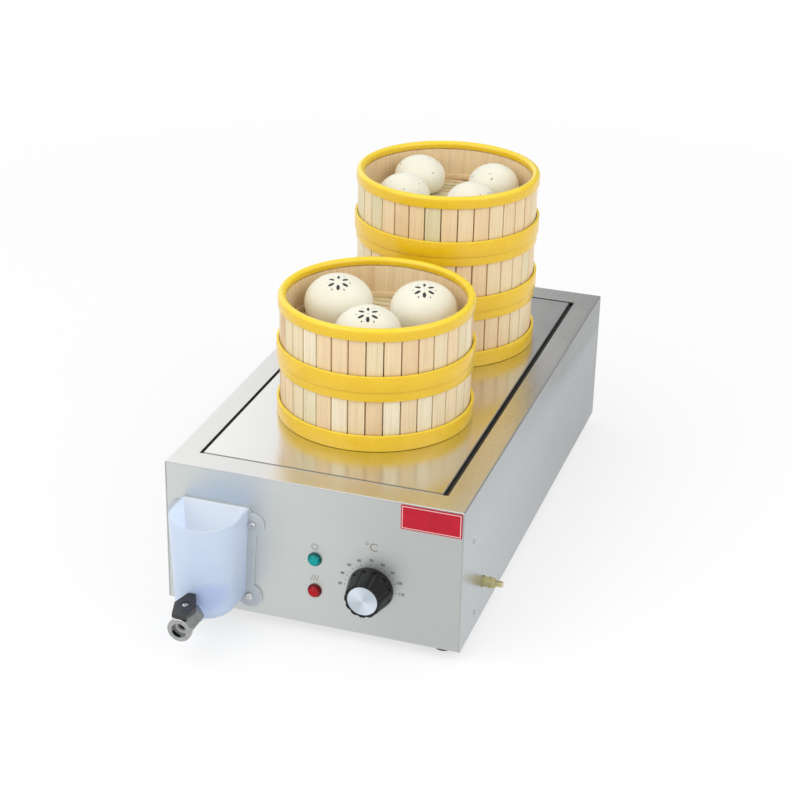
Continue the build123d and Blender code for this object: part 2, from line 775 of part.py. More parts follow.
# Valve handle: a wedge with six sides that stands highest away from the outlet
half_length = handle_length / 2
handle_rise = (handle_back_top - handle_front_top) / 2
with BuildPart() as valve_handle:
    with BuildSketch(facing_up(box_x, pivot_y, feed_z + handle_underside)):
        Polygon(
            (-handle_front_width / 2, -half_length),
            (handle_front_width / 2, -half_length),
            (handle_width / 2, 0),
            (handle_back_width / 2, half_length),
            (-handle_back_width / 2, half_length),
            (-handle_width / 2, 0),
            align=None,
        )
    extrude(amount=handle_back_top - handle_underside)
    fillet(valve_handle.edges().filter_by(Axis.Z), bend_radius / 2)
    with BuildSketch(facing_right(box_x - handle_width, pivot_y, feed_z)):
        Polygon(
            (-handle_length, handle_front_top - handle_rise),
            (handle_length, handle_back_top + handle_rise),
            (handle_length, 2 * handle_back_top),
            (-handle_length, 2 * handle_back_top),
            align=None,
        )
    extrude(amount=2 * handle_width, mode=Mode.SUBTRACT)
    top_edges = valve_handle.faces().sort_by(Axis.Z)[-1].edges()
    fillet(top_edges, bend_radius / 2)
    with BuildSketch(facing_up(box_x, pivot_y, feed_z + handle_underside)):
        Circle(neck_radius + rest_gap)
    extrude(amount=handle_bore_top - handle_underside, mode=Mode.SUBTRACT)
    with BuildSketch(facing_up(box_x, pivot_y, feed_z + handle_underside)):
        Circle(stem_radius + running_gap)
        Rectangle(
            2 * (stem_radius + running_gap), 2 * (stem_radius - sheet + running_gap), mode=Mode.INTERSECT
        )
    extrude(amount=stem_top - handle_underside + running_gap, mode=Mode.SUBTRACT)
    with BuildSketch(facing_up(box_x, pivot_y, feed_z + stem_top + running_gap)):
        Circle(handle_screw_head + slip_gap)
    extrude(amount=handle_back_top, mode=Mode.SUBTRACT)
keep(valve_handle, "valve_handle")

# Handle screw: it clamps the handle on the stem
with BuildPart() as valve_handle_screw:
    with BuildSketch(facing_up(box_x, pivot_y, feed_z + stem_top + running_gap)):
        Circle(handle_screw_head)
    extrude(amount=handle_screw_head_height)
    chamfer(valve_handle_screw.edges().group_by(Axis.Z)[-1], handle_screw_head_height / 4)
    with BuildSketch(facing_up(box_x, pivot_y, feed_z + neck_top + rest_gap)):
        Circle(handle_screw_radius - running_gap)
    extrude(amount=stem_top - neck_top)
    with BuildSketch(facing_up(box_x, pivot_y, feed_z + stem_top + handle_screw_head_height / 2)):
        Rectangle(handle_screw_head, sheet / 2)
        Rectangle(sheet / 2, handle_screw_head)
    extrude(amount=handle_screw_head_height, mode=Mode.SUBTRACT)
keep(valve_handle_screw, "valve_handle_screw")

# Earth stud: through the right side, with two nuts and two washers outside
with BuildPart() as earth_stud:
    with BuildSketch(facing_right(casing_width - stud_inside, stud_y, stud_z)):
        Circle(stud_radius)
    extrude(amount=stud_inside + stud_reach)
    chamfer(earth_stud.edges().group_by(Axis.X)[-1], sheet / 2)
keep(earth_stud, "earth_stud")
with BuildPart() as earth_nuts:
    outward = casing_width
    for layer in ("washer", "nut", "washer", "nut"):
        height = stud_nut_height if layer == "nut" else stud_washer_height
        with BuildSketch(facing_right(outward, stud_y, stud_z)):
            if layer == "nut":
                RegularPolygon(hexagon(stud_nut_flats), 6, rotation=30)
            else:
                Circle(stud_washer_radius)
            Circle(stud_radius + running_gap, mode=Mode.SUBTRACT)
        extrude(amount=height - running_gap)
        outward += height
    with BuildSketch(facing_left(casing_width - sheet, stud_y, stud_z)):
        RegularPolygon(hexagon(stud_nut_flats), 6, rotation=30)
        Circle(stud_radius + running_gap, mode=Mode.SUBTRACT)
    extrude(amount=stud_nut_height)
keep(earth_nuts, "earth_nuts")

# Side rivets: two in each side, through the front panel's returns
with BuildPart() as side_rivets:
    for y, z in rivet_places:
        for outer, inner in (
            (facing_left(0, y, z), facing_right(0, y, z)),
            (facing_right(casing_width, y, z), facing_left(casing_width, y, z)),
        ):
            with BuildSketch(outer):
                Circle(rivet_head_radius)
            extrude(amount=rivet_head, taper=head_taper)
            with BuildSketch(inner):
                Circle(rivet_radius - running_gap)
            extrude(amount=rivet_length)
keep(side_rivets, "side_rivets")

# Cable gland: an outer flange and dome, a thread through the panel and a nut inside
with BuildPart() as cable_gland:
    with BuildSketch(facing_back(gland_x, casing_depth, gland_z)):
        RegularPolygon(hexagon(gland_flats), 6)
    extrude(amount=gland_flange)
    with BuildSketch(facing_back(gland_x, casing_depth + gland_flange, gland_z)):
        Circle(gland_dome_radius)
    extrude(amount=gland_reach - gland_flange)
    fillet(cable_gland.edges().group_by(Axis.Y)[-1], bend_radius * 2)
    with BuildSketch(facing_front(gland_x, casing_depth, gland_z)):
        Circle(gland_thread_radius)
    extrude(amount=gland_inside)
    with BuildSketch(facing_front(gland_x, casing_depth - sheet, gland_z)):
        RegularPolygon(hexagon(gland_flats), 6)
    extrude(amount=gland_nut_height)
    with BuildSketch(facing_back(gland_x, casing_depth - gland_inside, gland_z)):
        Circle(gland_bore)
    extrude(amount=gland_inside + gland_reach, mode=Mode.SUBTRACT)
keep(cable_gland, "cable_gland")

# Sensor bulb: under the tank floor, with its capillary to the thermostat
thermostat_back = sheet + thermostat_depth
with BuildPart() as sensor_bulb:
    with BuildSketch(facing_back(bulb_x, bulb_y, bulb_z)):
        Circle(bulb_radius)
    extrude(amount=bulb_length)
    with BuildLine() as capillary_path:
        FilletPolyline(
            spot(bulb_x, bulb_y + sheet, bulb_z),
            spot(bulb_x, bulb_y - capillary_run, bulb_z),
            spot(dial_x + terminal_x, thermostat_back + capillary_drop, dial_z + terminal_z),
            spot(dial_x + terminal_x, thermostat_back, dial_z + terminal_z),
            radius=[capillary_bend, capillary_bend],
        )
    with BuildSketch(facing_front(bulb_x, bulb_y + sheet, bulb_z)):
        Circle(capillary_radius)
    sweep(path=capillary_path.wires()[0])
keep(sensor_bulb, "sensor_bulb")

# Wires: each from the gland, a terminal or the stud to the piece that it feeds
gland_mouth = casing_depth - gland_inside - wire_start
terminal_y = thermostat_back + rest_gap
heater_end = leg_end - rest_gap
lamp_end = lamp_body_length + rest_gap
wire_routes = [
    [
        (gland_x - wire_spacing, gland_mouth, gland_z),
        (gland_x - wire_spacing, casing_depth - 60, 20),
        (gland_x + 50, casing_depth - 120, 12),
        (dial_x - 20, 160, 12),
        (dial_x + terminal_x, 80, dial_z - terminal_z),
        (dial_x + terminal_x, terminal_y, dial_z - terminal_z),
    ],
    [
        (gland_x + wire_spacing, gland_mouth, gland_z),
        (gland_x + wire_spacing, casing_depth - 55, 24),
        (gland_x + 60, casing_depth - 120, 20),
        (heater_legs[0], 180, 24),
        (heater_legs[0], heater_front, 34),
        (heater_legs[0], heater_front, heater_end),
    ],
    [
        (dial_x - terminal_x, terminal_y, dial_z - terminal_z),
        (dial_x - terminal_x, 62, dial_z - terminal_z),
        (heater_legs[1], heater_front, 30),
        (heater_legs[1], heater_front, heater_end),
    ],
    [
        (gland_x, gland_mouth, gland_z - 2.6),
        (gland_x, casing_depth - 40, 14),
        (gland_x + 90, casing_depth - 90, 6),
        (casing_width - 38, 200, 6),
        (casing_width - stud_inside - 14, stud_y, 12),
        (casing_width - stud_inside - 14, stud_y, stud_z),
        (casing_width - stud_inside - rest_gap, stud_y, stud_z),
    ],
    [
        (lamp_x, lamp_end, lamp_low_z),
        (lamp_x, lamp_end + 16, lamp_low_z),
        (lamp_x, lamp_end + 16, lamp_low_z + lamp_pitch),
        (lamp_x, lamp_end, lamp_low_z + lamp_pitch),
    ],
]
with BuildPart() as wiring:
    for route in wire_routes:
        points = [Vector(*spot(*place)) for place in route]
        runs = [b - a for a, b in zip(points, points[1:])]
        radii = []
        for a, b in zip(runs, runs[1:]):
            bend = radians(a.get_angle(b))
            radii.append(wire_bend_share * min(a.length, b.length) * (1 + cos(bend)) / sin(bend))
        with BuildLine() as wire_path:
            FilletPolyline(*points, radius=radii)
        with BuildSketch(Plane(origin=points[0], z_dir=runs[0])):
            Circle(wire_radius)
        sweep(path=wire_path.wires()[0])
keep(wiring, "wiring")


def build_tier(name, centre, base):
    """One steamer tier: staves in two plastic rims, and a slatted floor on a shelf."""
    x, y = centre
    turn = 360 / stave_count

    stave_bottom = nest_depth + bottom_web + rest_gap
    stave_top = tier_height - nest_depth - rest_gap
    with BuildPart() as staves:
        with BuildSketch(facing_up(x, y, base + stave_bottom)):
            side = 2 * stave_inner * sin(pi / stave_count) / cos(pi / stave_count)
            outer_side = side * (stave_inner + stave_thickness) / stave_inner
            with PolarLocations(0, stave_count):
                Polygon(
                    (stave_inner, -side / 2 + stave_gap / 2),
                    (stave_inner + stave_thickness, -outer_side / 2 + stave_gap / 2),
                    (stave_inner + stave_thickness, outer_side / 2 - stave_gap / 2),
                    (stave_inner, side / 2 - stave_gap / 2),
                    align=None,
                )
        extrude(amount=stave_top - stave_bottom)
    keep(staves, f"{name}_staves")

    profile = Plane(origin=spot(x, y, base), x_dir=(1, 0, 0), z_dir=(0, -1, 0))
    axis = Axis(spot(x, y, base), (0, 0, 1))
    middle = (top_rim_radius + top_rim_inner) / 2
    slot_top = tier_height - nest_depth
    with BuildPart() as top_rim:
        with BuildSketch(profile):
            with BuildLine():
                Polyline(
                    (top_rim_inner, bead_start),
                    (top_rim_inner, tier_height - top_inner_leg),
                    (channel_inner, tier_height - top_inner_leg),
                    (channel_inner, slot_top),
                    (channel_outer, slot_top),
                    (channel_outer, tier_height - top_band),
                    (top_rim_radius, tier_height - top_band),
                    (top_rim_radius, bead_start),
                )
                RadiusArc((top_rim_radius, bead_start), (middle, tier_height), -rim_bead)
                RadiusArc((middle, tier_height), (top_rim_inner, bead_start), -rim_bead)
            make_face()
        revolve(axis=axis)
    keep(top_rim, f"{name}_top_rim")

    web_top = nest_depth + bottom_web
    with BuildPart() as bottom_rim:
        with BuildSketch(profile):
            Polygon(
                (bottom_rim_radius, 0),
                (bottom_rim_radius, bottom_band),
                (channel_outer, bottom_band),
                (channel_outer, web_top),
                (channel_inner, web_top),
                (channel_inner, shelf_top),
                (shelf_inner, shelf_top),
                (shelf_inner, shelf_top - shelf_thickness),
                (channel_inner - bottom_leg, shelf_top - shelf_thickness),
                (channel_inner - bottom_leg, nest_depth),
                (top_rim_radius + rest_gap, nest_depth),
                (top_rim_radius + rest_gap, 0),
                align=None,
            )
        revolve(axis=axis)
    keep(bottom_rim, f"{name}_bottom_rim")

    floor_radius = stave_inner - 2 * slip_gap
    batten_base = shelf_top + slip_gap
    with BuildPart() as floor:
        with BuildSketch(facing_up(x, y, base + batten_base)):
            with GridLocations(batten_pitch, 1, batten_count, 1):
                Rectangle(batten_width, 2 * stave_inner)
            Circle(channel_inner - slip_gap, mode=Mode.INTERSECT)
        extrude(amount=floor_top - slat_thickness - batten_base)
        slat_count = int(2 * floor_radius / slat_pitch)
        with BuildSketch(facing_up(x, y, base + floor_top - slat_thickness)):
            with GridLocations(1, slat_pitch, 1, slat_count):
                Rectangle(2 * stave_inner, slat_width)
            Circle(floor_radius, mode=Mode.INTERSECT)
        extrude(amount=slat_thickness)
    keep(floor, f"{name}_floor")


def build_bun(name, centre, place, base):
    """A steamed bun: a flat foot, a rounded waist and a domed top."""
    x, y, radius = place
    height = bun_height_ratio * radius
    waist = bun_waist_ratio * height
    foot = bun_base_ratio * radius
    bow = 4 / 3 * (sqrt(2) - 1)
    foot_pull = foot + bow * (radius - foot)
    top_pull = waist + bow * (height - waist)
    middle = spot(centre[0] + x, centre[1] + y, base)
    with BuildPart() as bun:
        with BuildSketch(Plane(origin=middle, x_dir=(1, 0, 0), z_dir=(0, -1, 0))):
            with BuildLine():
                Polyline((0, height), (0, 0), (foot, 0))
                Bezier((foot, 0), (foot_pull, 0), (radius, waist * (1 - bow)), (radius, waist))
                Bezier((radius, waist), (radius, top_pull), (bow * radius, height), (0, height))
            make_face()
        revolve(axis=Axis(middle, (0, 0, 1)))
    keep(bun, name)


stacks = {"front": (front_stack, 2, front_buns), "back": (back_stack, 3, back_buns)}
for stack, (centre, tiers, buns) in stacks.items():
    for level in range(tiers):
        tier_base = casing_height + rest_gap + level * tier_pitch
        build_tier(f"{stack}_tier_{level + 1}", centre, tier_base)
    for bun_name, bun_place in buns.items():
        build_bun(f"{stack}_bun_{bun_name}", centre, bun_place, tier_base + floor_top + rest_gap)
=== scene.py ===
import json
import math
import random

import bpy
from bpy.props import FloatProperty, FloatVectorProperty, IntProperty, PointerProperty
from mathutils import Euler, Matrix, Vector


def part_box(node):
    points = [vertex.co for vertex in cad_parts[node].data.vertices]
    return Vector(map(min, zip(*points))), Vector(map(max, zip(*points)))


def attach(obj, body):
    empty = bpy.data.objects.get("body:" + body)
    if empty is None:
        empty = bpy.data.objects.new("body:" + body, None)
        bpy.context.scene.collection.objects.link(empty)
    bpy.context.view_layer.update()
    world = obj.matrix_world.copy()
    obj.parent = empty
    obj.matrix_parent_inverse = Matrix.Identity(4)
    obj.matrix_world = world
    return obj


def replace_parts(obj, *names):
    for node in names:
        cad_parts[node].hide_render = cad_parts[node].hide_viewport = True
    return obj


bl_info = {
    "name": "Bun Steamer Finish",
    "version": (1, 0, 0),
    "blender": (4, 5, 0),
    "location": "3D View > Sidebar > Bun Steamer",
    "description": "Finishes a packed bun steamer: sheet steel, controls, water box, tiers and buns",
    "category": "Object",
}

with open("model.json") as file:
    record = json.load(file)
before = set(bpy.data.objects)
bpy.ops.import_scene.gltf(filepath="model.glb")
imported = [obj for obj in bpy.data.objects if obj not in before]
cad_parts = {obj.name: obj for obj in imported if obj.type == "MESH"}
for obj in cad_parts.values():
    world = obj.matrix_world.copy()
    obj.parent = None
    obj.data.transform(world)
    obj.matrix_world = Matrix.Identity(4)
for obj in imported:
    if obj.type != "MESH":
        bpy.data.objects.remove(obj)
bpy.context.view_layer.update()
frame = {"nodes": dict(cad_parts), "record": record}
record = frame["record"]
MM = 0.001
TURN = 2 * math.pi
SLOT_OF = {part["node"]: part["material_slot"] for part in record["subparts"]}
BODY_OF = {node: body for body, nodes in record["behaviour"]["bodies"].items() for node in nodes}
TIERS = sorted(body for body in record["behaviour"]["bodies"] if "_tier_" in body)
BUNS = sorted(node for node in frame["nodes"] if "_bun_" in node)
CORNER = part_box("casing")[0]
FINISHES = {}


def at(x, y, z):
    """A point in metres, from its place on the casing in millimetres."""
    return CORNER + Vector((x, y, z)) * MM


def middle(node):
    """The middle of a CAD node's box."""
    low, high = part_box(node)
    return (low + high) / 2


def centred(node, z):
    """The point at height z over the middle of a CAD node's box."""
    point = middle(node)
    point.z = z
    return point


def ring_size(node):
    """The radius and height in millimetres of a CAD node that is round from above."""
    low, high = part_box(node)
    return (high.x - low.x) / 2 / MM, (high.z - low.z) / MM


def direction(tilt, turn):
    """The direction tilted away from upright, towards a turn round it."""
    return Vector((math.sin(tilt) * math.cos(turn), math.sin(tilt) * math.sin(turn), math.cos(tilt)))


def colour_property(name, description, default):
    return FloatVectorProperty(
        name=name, description=description, default=default, subtype="COLOR", min=0, max=1, size=3
    )


def length_property(name, description, default):
    return FloatProperty(
        name=name, description=description, default=default, min=0, unit="LENGTH", precision=5
    )


def number_property(name, description, default, **kind):
    return FloatProperty(name=name, description=description, default=default, min=0, **kind)


def count_property(name, description, default, least):
    return IntProperty(
        name=name, description=description, default=default, min=least, subtype="UNSIGNED"
    )


class SteelSettings(bpy.types.PropertyGroup):
    """Colours of the sheet steel."""

    panel: colour_property("Panel", "Front and rear panel steel", (0.635, 0.66, 0.645))
    casing: colour_property("Casing", "Top steel, brushed along the machine", (0.73, 0.73, 0.72))
    # Painted shade: the casing's sides are the same steel as its top, given this darker colour.
    side: colour_property("Side", "Side steel, brushed along the machine", (0.50, 0.53, 0.545))
    plate: colour_property("Plate", "Steam plate steel", (0.77, 0.77, 0.76))
    inner: colour_property("Inside", "Tank and base steel", (0.45, 0.45, 0.44))


class ControlSettings(bpy.types.PropertyGroup):
    """Sizes and colours of the dial, lamps and plates."""

    tick_radius: length_property("Tick radius", "Middle of the dial's ticks", 0.0258)
    number_radius: length_property("Number radius", "Middle of the dial's numbers", 0.0308)
    number_height: length_property("Number height", "Height of the dial's numbers", 0.0040)
    number_count: count_property("Numbers", "Numbers on the dial", 9, least=2)
    ink: colour_property("Ink", "Printed marks", (0.055, 0.052, 0.05))
    caption_ink: colour_property("Caption ink", "Printed symbols", (0.22, 0.19, 0.165))
    green: colour_property("Green lens", "Upper lamp's lens", (0.0, 0.27, 0.265))
    red: colour_property("Red lens", "Lower lamp's lens", (0.36, 0.004, 0.010))
    red_plate: colour_property("Name plate", "Name plate's enamel", (0.52, 0.005, 0.026))
    plate_line: colour_property("Plate line", "Thin line inside the name plate's edge", (0.83, 0.62, 0.62))


class TierSettings(bpy.types.PropertyGroup):
    """Sizes and colours of the steamer tiers."""

    sides: count_property("Rim steps", "Steps round each rim", 160, least=24)
    staves: count_property("Staves", "Staves round each tier", 35, least=8)
    stave_gap: length_property("Stave gap", "Gap between two staves", 0.00035)
    # One plastic in two yellows: the darker one for upright faces is painted shade, and the lighter one for
    # upward faces is painted light.
    yellow: colour_property("Rim side", "Upright faces of the plastic rims", (0.80, 0.50, 0.008))
    lit_top_yellow: colour_property("Rim top", "Upward faces of the plastic rims", (0.95, 0.72, 0.03))
    pale: colour_property("Pale bamboo", "Lightest bamboo", (0.90, 0.80, 0.60))
    deep: colour_property("Deep bamboo", "Darkest bamboo", (0.60, 0.39, 0.20))
    seam: colour_property("Seam", "Dark grain and seams", (0.34, 0.20, 0.09))


class BunSettings(bpy.types.PropertyGroup):
    """Sizes and colours of the buns."""

    dough: colour_property("Dough", "Steamed dough", (0.89, 0.875, 0.745))
    seed: colour_property("Sesame", "Black sesame", (0.015, 0.014, 0.013))
    herb: colour_property("Herb", "Chopped herb flecks", (0.16, 0.19, 0.10))
    fleck_length: length_property("Fleck length", "Length of a herb fleck", 0.0026)


class StageSettings(bpy.types.PropertyGroup):
    """Light and floor."""

    floor: colour_property("Floor", "Floor colour", (0.96, 0.96, 0.96))
    sky: number_property("Sky", "Strength of the soft light all round", 0.80, subtype="FACTOR")
    key: number_property("Key", "Key lamp's power", 21, unit="POWER")
    fill: number_property("Fill", "Fill lamp's power", 9, unit="POWER")
    glow: number_property(
        "Glow", "Share of plain white in the floor that is seen", 0.62, max=1, subtype="FACTOR"
    )


def maths(operation, swapped=False):
    """A method that puts a signal and another term through one Math node."""

    def method(self, other=0.0):
        terms = (other, self) if swapped else (self, other)
        return self.nodes.node("Math", {"operation": operation}, dict(enumerate(terms)))

    return method


class Signal:
    """A shader socket that takes part in sums."""

    __add__, __radd__ = maths("ADD"), maths("ADD", swapped=True)
    __sub__, __rsub__ = maths("SUBTRACT"), maths("SUBTRACT", swapped=True)
    __mul__, __rmul__ = maths("MULTIPLY"), maths("MULTIPLY", swapped=True)
    __truediv__ = maths("DIVIDE")
    __gt__, __lt__ = maths("GREATER_THAN"), maths("LESS_THAN")
    size, root, wave, over = maths("ABSOLUTE"), maths("SQRT"), maths("SINE"), maths("MAXIMUM")

    def __init__(self, nodes, socket):
        self.nodes = nodes
        self.socket = socket

    def rise(self, low, high, start=0.0, end=1.0):
        """A smooth step from start to end while this goes from low to high."""
        settings = {"interpolation_type": "SMOOTHSTEP"}
        values = {"Value": self, "From Min": low, "From Max": high, "To Min": start, "To Max": end}
        return self.nodes.node("MapRange", settings, values)


class Nodes:
    """A node tree, with one way to add a node and a few that build on it."""

    def __init__(self, tree):
        self.tree = tree

    def node(self, kind, settings=None, values=None, output=0):
        made = self.tree.nodes.new(f"ShaderNode{kind}")
        for key, value in (settings or {}).items():
            if key == "stops":
                elements = made.color_ramp.elements
                elements[0].position, elements[1].position = value[0][0], value[-1][0]
                for place, _ in value[1:-1]:
                    elements.new(place)
                for element, (_, colour) in zip(elements, value):
                    element.color = (*colour, 1)
            else:
                setattr(made, key, value)
        for key, value in (values or {}).items():
            if isinstance(value, Signal):
                self.tree.links.new(value.socket, made.inputs[key])
            else:
                made.inputs[key].default_value = value
        return Signal(self, made.outputs[output]) if made.outputs else None

    def split(self, vector):
        """The vector's X, Y and Z."""
        sockets = self.node("SeparateXYZ", values={0: vector}).socket.node.outputs
        return [Signal(self, socket) for socket in sockets]

    def rays(self):
        """One for rays from the camera, one for mirrored ones and one for those through glass."""
        sockets = self.node("LightPath").socket.node.outputs
        return [Signal(self, sockets[f"Is {kind} Ray"]) for kind in ("Camera", "Glossy", "Transmission")]


class Finish(Nodes):
    """A material on Object coordinates, with its Principled shader."""

    def __init__(self, name, **constants):
        self.material = bpy.data.materials.new(name)
        self.material.use_nodes = True
        super().__init__(self.material.node_tree)
        self.shader = self.tree.nodes["Principled BSDF"]
        for socket, value in constants.items():
            self.shader.inputs[socket.replace("_", " ")].default_value = value
        FINISHES[name] = self.material

    def feed(self, **signals):
        for socket, signal in signals.items():
            self.tree.links.new(signal.socket, self.shader.inputs[socket.replace("_", " ")])

    def place(self, centre=(0, 0, 0), stretch=(1, 1, 1)):
        """Object coordinates from a centre, stretched along the axes."""
        coordinates = self.node("TexCoord", output="Object")
        moved = self.node("VectorMath", {"operation": "SUBTRACT"}, {0: coordinates, 1: tuple(centre)})
        return self.node("VectorMath", {"operation": "MULTIPLY"}, {0: moved, 1: tuple(stretch)})

    def axes(self, centre=(0, 0, 0)):
        return self.split(self.place(centre))

    def facing(self):
        """The surface's direction along X, Y and Z."""
        return self.split(self.node("TexCoord", output="Normal"))

    def noise(self, scale, detail=2.0, stretch=(1, 1, 1), offset=None):
        vector = self.place(stretch=stretch)
        if offset is not None:
            vector = self.node("VectorMath", {"operation": "ADD"}, {0: vector, 1: offset})
        return self.node("TexNoise", values={"Vector": vector, "Scale": scale, "Detail": detail})

    def mix(self, factor, first, second):
        first = first if isinstance(first, Signal) else (*first, 1)
        second = second if isinstance(second, Signal) else (*second, 1)
        return self.node("Mix", {"data_type": "RGBA"}, {0: factor, 6: first, 7: second}, output=2)

    def bump(self, height, distance, strength=1.0):
        values = {"Height": height, "Distance": distance, "Strength": strength}
        return self.node("Bump", values=values, output="Normal")


def darker(colour, share):
    return tuple(channel * share for channel in colour)


def brushed_steel(name, colour, along, roughness, streak, side=None, painted_dimming=None):
    """Sheet steel with fine brushing along one axis, broad rolling bands and handling marks, and painted
    shade where asked: darker casing sides, darker still towards the back and top, and a fade towards black
    along one axis.
    """
    finish = Finish(name, Metallic=1.0)
    light, dark = tuple(min(1, channel * 1.12) for channel in colour), darker(colour, 0.86)
    # Painted shade: below the top's bend the sides take the darker side colour, darker still towards the
    # back and top.
    if side:
        bend_foot, bend_top = -0.0016, -0.0008
        _, y, z = finish.axes(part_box("casing")[1])
        upright = z.rise(bend_foot, bend_top, 1, 0)
        painted_side_shade = y.rise(-0.56, -0.02, 0.0, 0.70) + z.rise(-0.05, 0.0) * y.rise(-0.40, -0.05, 0.2, 1.0)
        light = finish.mix(upright, light, finish.mix(painted_side_shade, darker(side, 1.08), darker(side, 0.52)))
        dark = finish.mix(upright, dark, finish.mix(painted_side_shade, darker(side, 0.86), darker(side, 0.42)))
    # Painted shade: the colour is mixed towards black along one axis of a CAD node's box.
    if painted_dimming:
        node, axis, start, end, first, last = painted_dimming
        shade = finish.axes(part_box(node)[0])[axis].rise(start, end, first, last)
        light, dark = (finish.mix(shade, tone, (0, 0, 0)) for tone in (light, dark))
    thin, broad = [1500.0] * 3, [34.0] * 3
    thin[along], broad[along] = 14.0, 2.2
    fine = finish.noise(1.0, 3, thin)
    band = finish.noise(1.0, 2, broad)
    smear = finish.noise(9.0, 4)
    shade = (fine - 0.5) * streak + (band - 0.5) * (0.6 * streak) + (smear - 0.5) * (0.35 * streak)
    finish.feed(
        Base_Color=finish.mix(shade + 0.5, dark, light),
        Roughness=roughness + 0.16 * (fine - 0.5) + 0.10 * (smear - 0.5),
        Normal=finish.bump(fine, 0.00002, 0.35),
    )


def turned_metal(name, colour, roughness, centre):
    """Bright metal with fine turning rings round an axis along Y, and a painted sheen that lightens two
    opposite quarters of the face and darkens the other two.
    """
    rings_per_metre, middle_guard = 5200.0, 1e-7
    finish = Finish(name, Metallic=1.0)
    x, _, z = finish.axes(centre)
    square = x * x + z * z
    ring = (square.root() * rings_per_metre).wave()
    cloud = finish.noise(60.0, 3)
    # Painted highlight: x·z over the radius squared, taken from the tone.
    painted_sheen = (x * z) / (square + middle_guard)
    tone = 0.45 + 0.10 * ring + 0.3 * (cloud - 0.5) - 0.9 * painted_sheen
    finish.feed(
        Base_Color=finish.mix(tone, darker(colour, 0.70), colour),
        Roughness=roughness + 0.05 * ring + 0.12 * (cloud - 0.5),
        Normal=finish.bump(ring, 0.00001, 0.3),
    )


def plain_metal(name, colour, roughness):
    """Cast, plated or drawn metal with a faint uneven polish and darker handling marks."""
    finish = Finish(name, Metallic=1.0)
    cloud = finish.noise(140.0, 4)
    fine = finish.noise(900.0, 2)
    finish.feed(
        Base_Color=finish.mix(cloud.rise(0.30, 0.70), darker(colour, 0.80), colour),
        Roughness=roughness + 0.16 * (cloud - 0.5) + 0.06 * (fine - 0.5),
        Normal=finish.bump(fine, 0.00003, 0.25),
    )


def moulded(name, colour, roughness, speck=0.10, **constants):
    """Moulded plastic or rubber: fine texture, slightly uneven tone and gloss."""
    finish = Finish(name, **constants)
    fine = finish.noise(1800.0, 2)
    cloud = finish.noise(45.0, 3)
    finish.feed(
        Base_Color=finish.mix(cloud.rise(0.3, 0.7), darker(colour, 1 - speck), colour),
        Roughness=roughness + 0.14 * (cloud - 0.5),
        Normal=finish.bump(fine, 0.00004, 0.4),
    )


def speckled(name, colour, grain, worn, roughness=0.6, start=0.35, end=0.6):
    """A dark coat with paler specks, where it is worn or dry."""
    finish = Finish(name, Roughness=roughness)
    specks = finish.noise(grain, 2).rise(start, end)
    finish.feed(Base_Color=finish.mix(specks, colour, darker(colour, worn)))


METALS = {
    "heater_steel": ((0.30, 0.27, 0.24), 0.45),
    "nut_brass": ((0.72, 0.52, 0.23), 0.30),
    "stud_brass": ((0.62, 0.56, 0.30), 0.32),
    "shaft_steel": ((0.55, 0.55, 0.54), 0.30),
    "screw_steel": ((0.72, 0.72, 0.71), 0.24),
    "pipe_steel": ((0.60, 0.60, 0.58), 0.28),
    "rivet_aluminium": ((0.52, 0.52, 0.50), 0.38),
    "valve_chrome": ((0.42, 0.43, 0.42), 0.12),
}
PLASTICS = {
    "control_plastic": ((0.03, 0.03, 0.03), 0.5),
    "gland_plastic": ((0.02, 0.02, 0.02), 0.45),
    "seat_plastic": ((0.82, 0.82, 0.80), 0.4),
    "foot_rubber": ((0.055, 0.065, 0.10), 0.6, 0.25),
    "wire_rubber": ((0.05, 0.05, 0.06), 0.55),
    # Near-black finish of the strip that is painted shade in the steam plate's gaps.
    "seal_rubber": ((0.028, 0.025, 0.022), 0.7, 0.3),
}


def make_metals(steel):
    # Painted shade: the front panel darkens towards its right-hand end.
    brushed_steel(
        "panel_steel", steel.panel, along=0, roughness=0.42, streak=0.34,
        painted_dimming=("front_panel", 0, 0.06, 0.29, 0, 0.22),
    )
    # Painted shade on the casing's upright sides, from steel.side.
    brushed_steel("casing_steel", steel.casing, along=1, roughness=0.30, streak=0.34, side=steel.side)
    # Painted shade: the steam plate is mixed towards black along its front edge, dulling the glint there.
    brushed_steel(
        "plate_steel", steel.plate, along=1, roughness=0.22, streak=0.30,
        painted_dimming=("steam_plate", 1, 0.0012, 0.0030, 0.72, 0),
    )
    brushed_steel("inner_steel", steel.inner, along=0, roughness=0.42, streak=0.4)
    turned_metal("knob_aluminium", (0.70, 0.78, 0.86), 0.30, middle("knob_cap"))
    for name, look in METALS.items():
        plain_metal(name, *look)


def make_plastics(control):
    moulded(
        "knob_plastic", (0.004, 0.004, 0.005), 0.26,
        Specular_IOR_Level=0.25, Coat_Weight=0.12, Coat_Roughness=0.06,
    )
    moulded("handle_plastic", (0.012, 0.013, 0.017), 0.28, Coat_Weight=0.25, Coat_Roughness=0.1)
    for name, look in PLASTICS.items():
        moulded(name, *look)
    make_lens("green_lens", control.green, "green_lamp_lens")
    make_lens("red_lens", control.red, "red_lamp_lens")
    speckled("ink", control.ink, 1500.0, 2.0)
    speckled("caption_ink", control.caption_ink, 1300.0, 1.5)


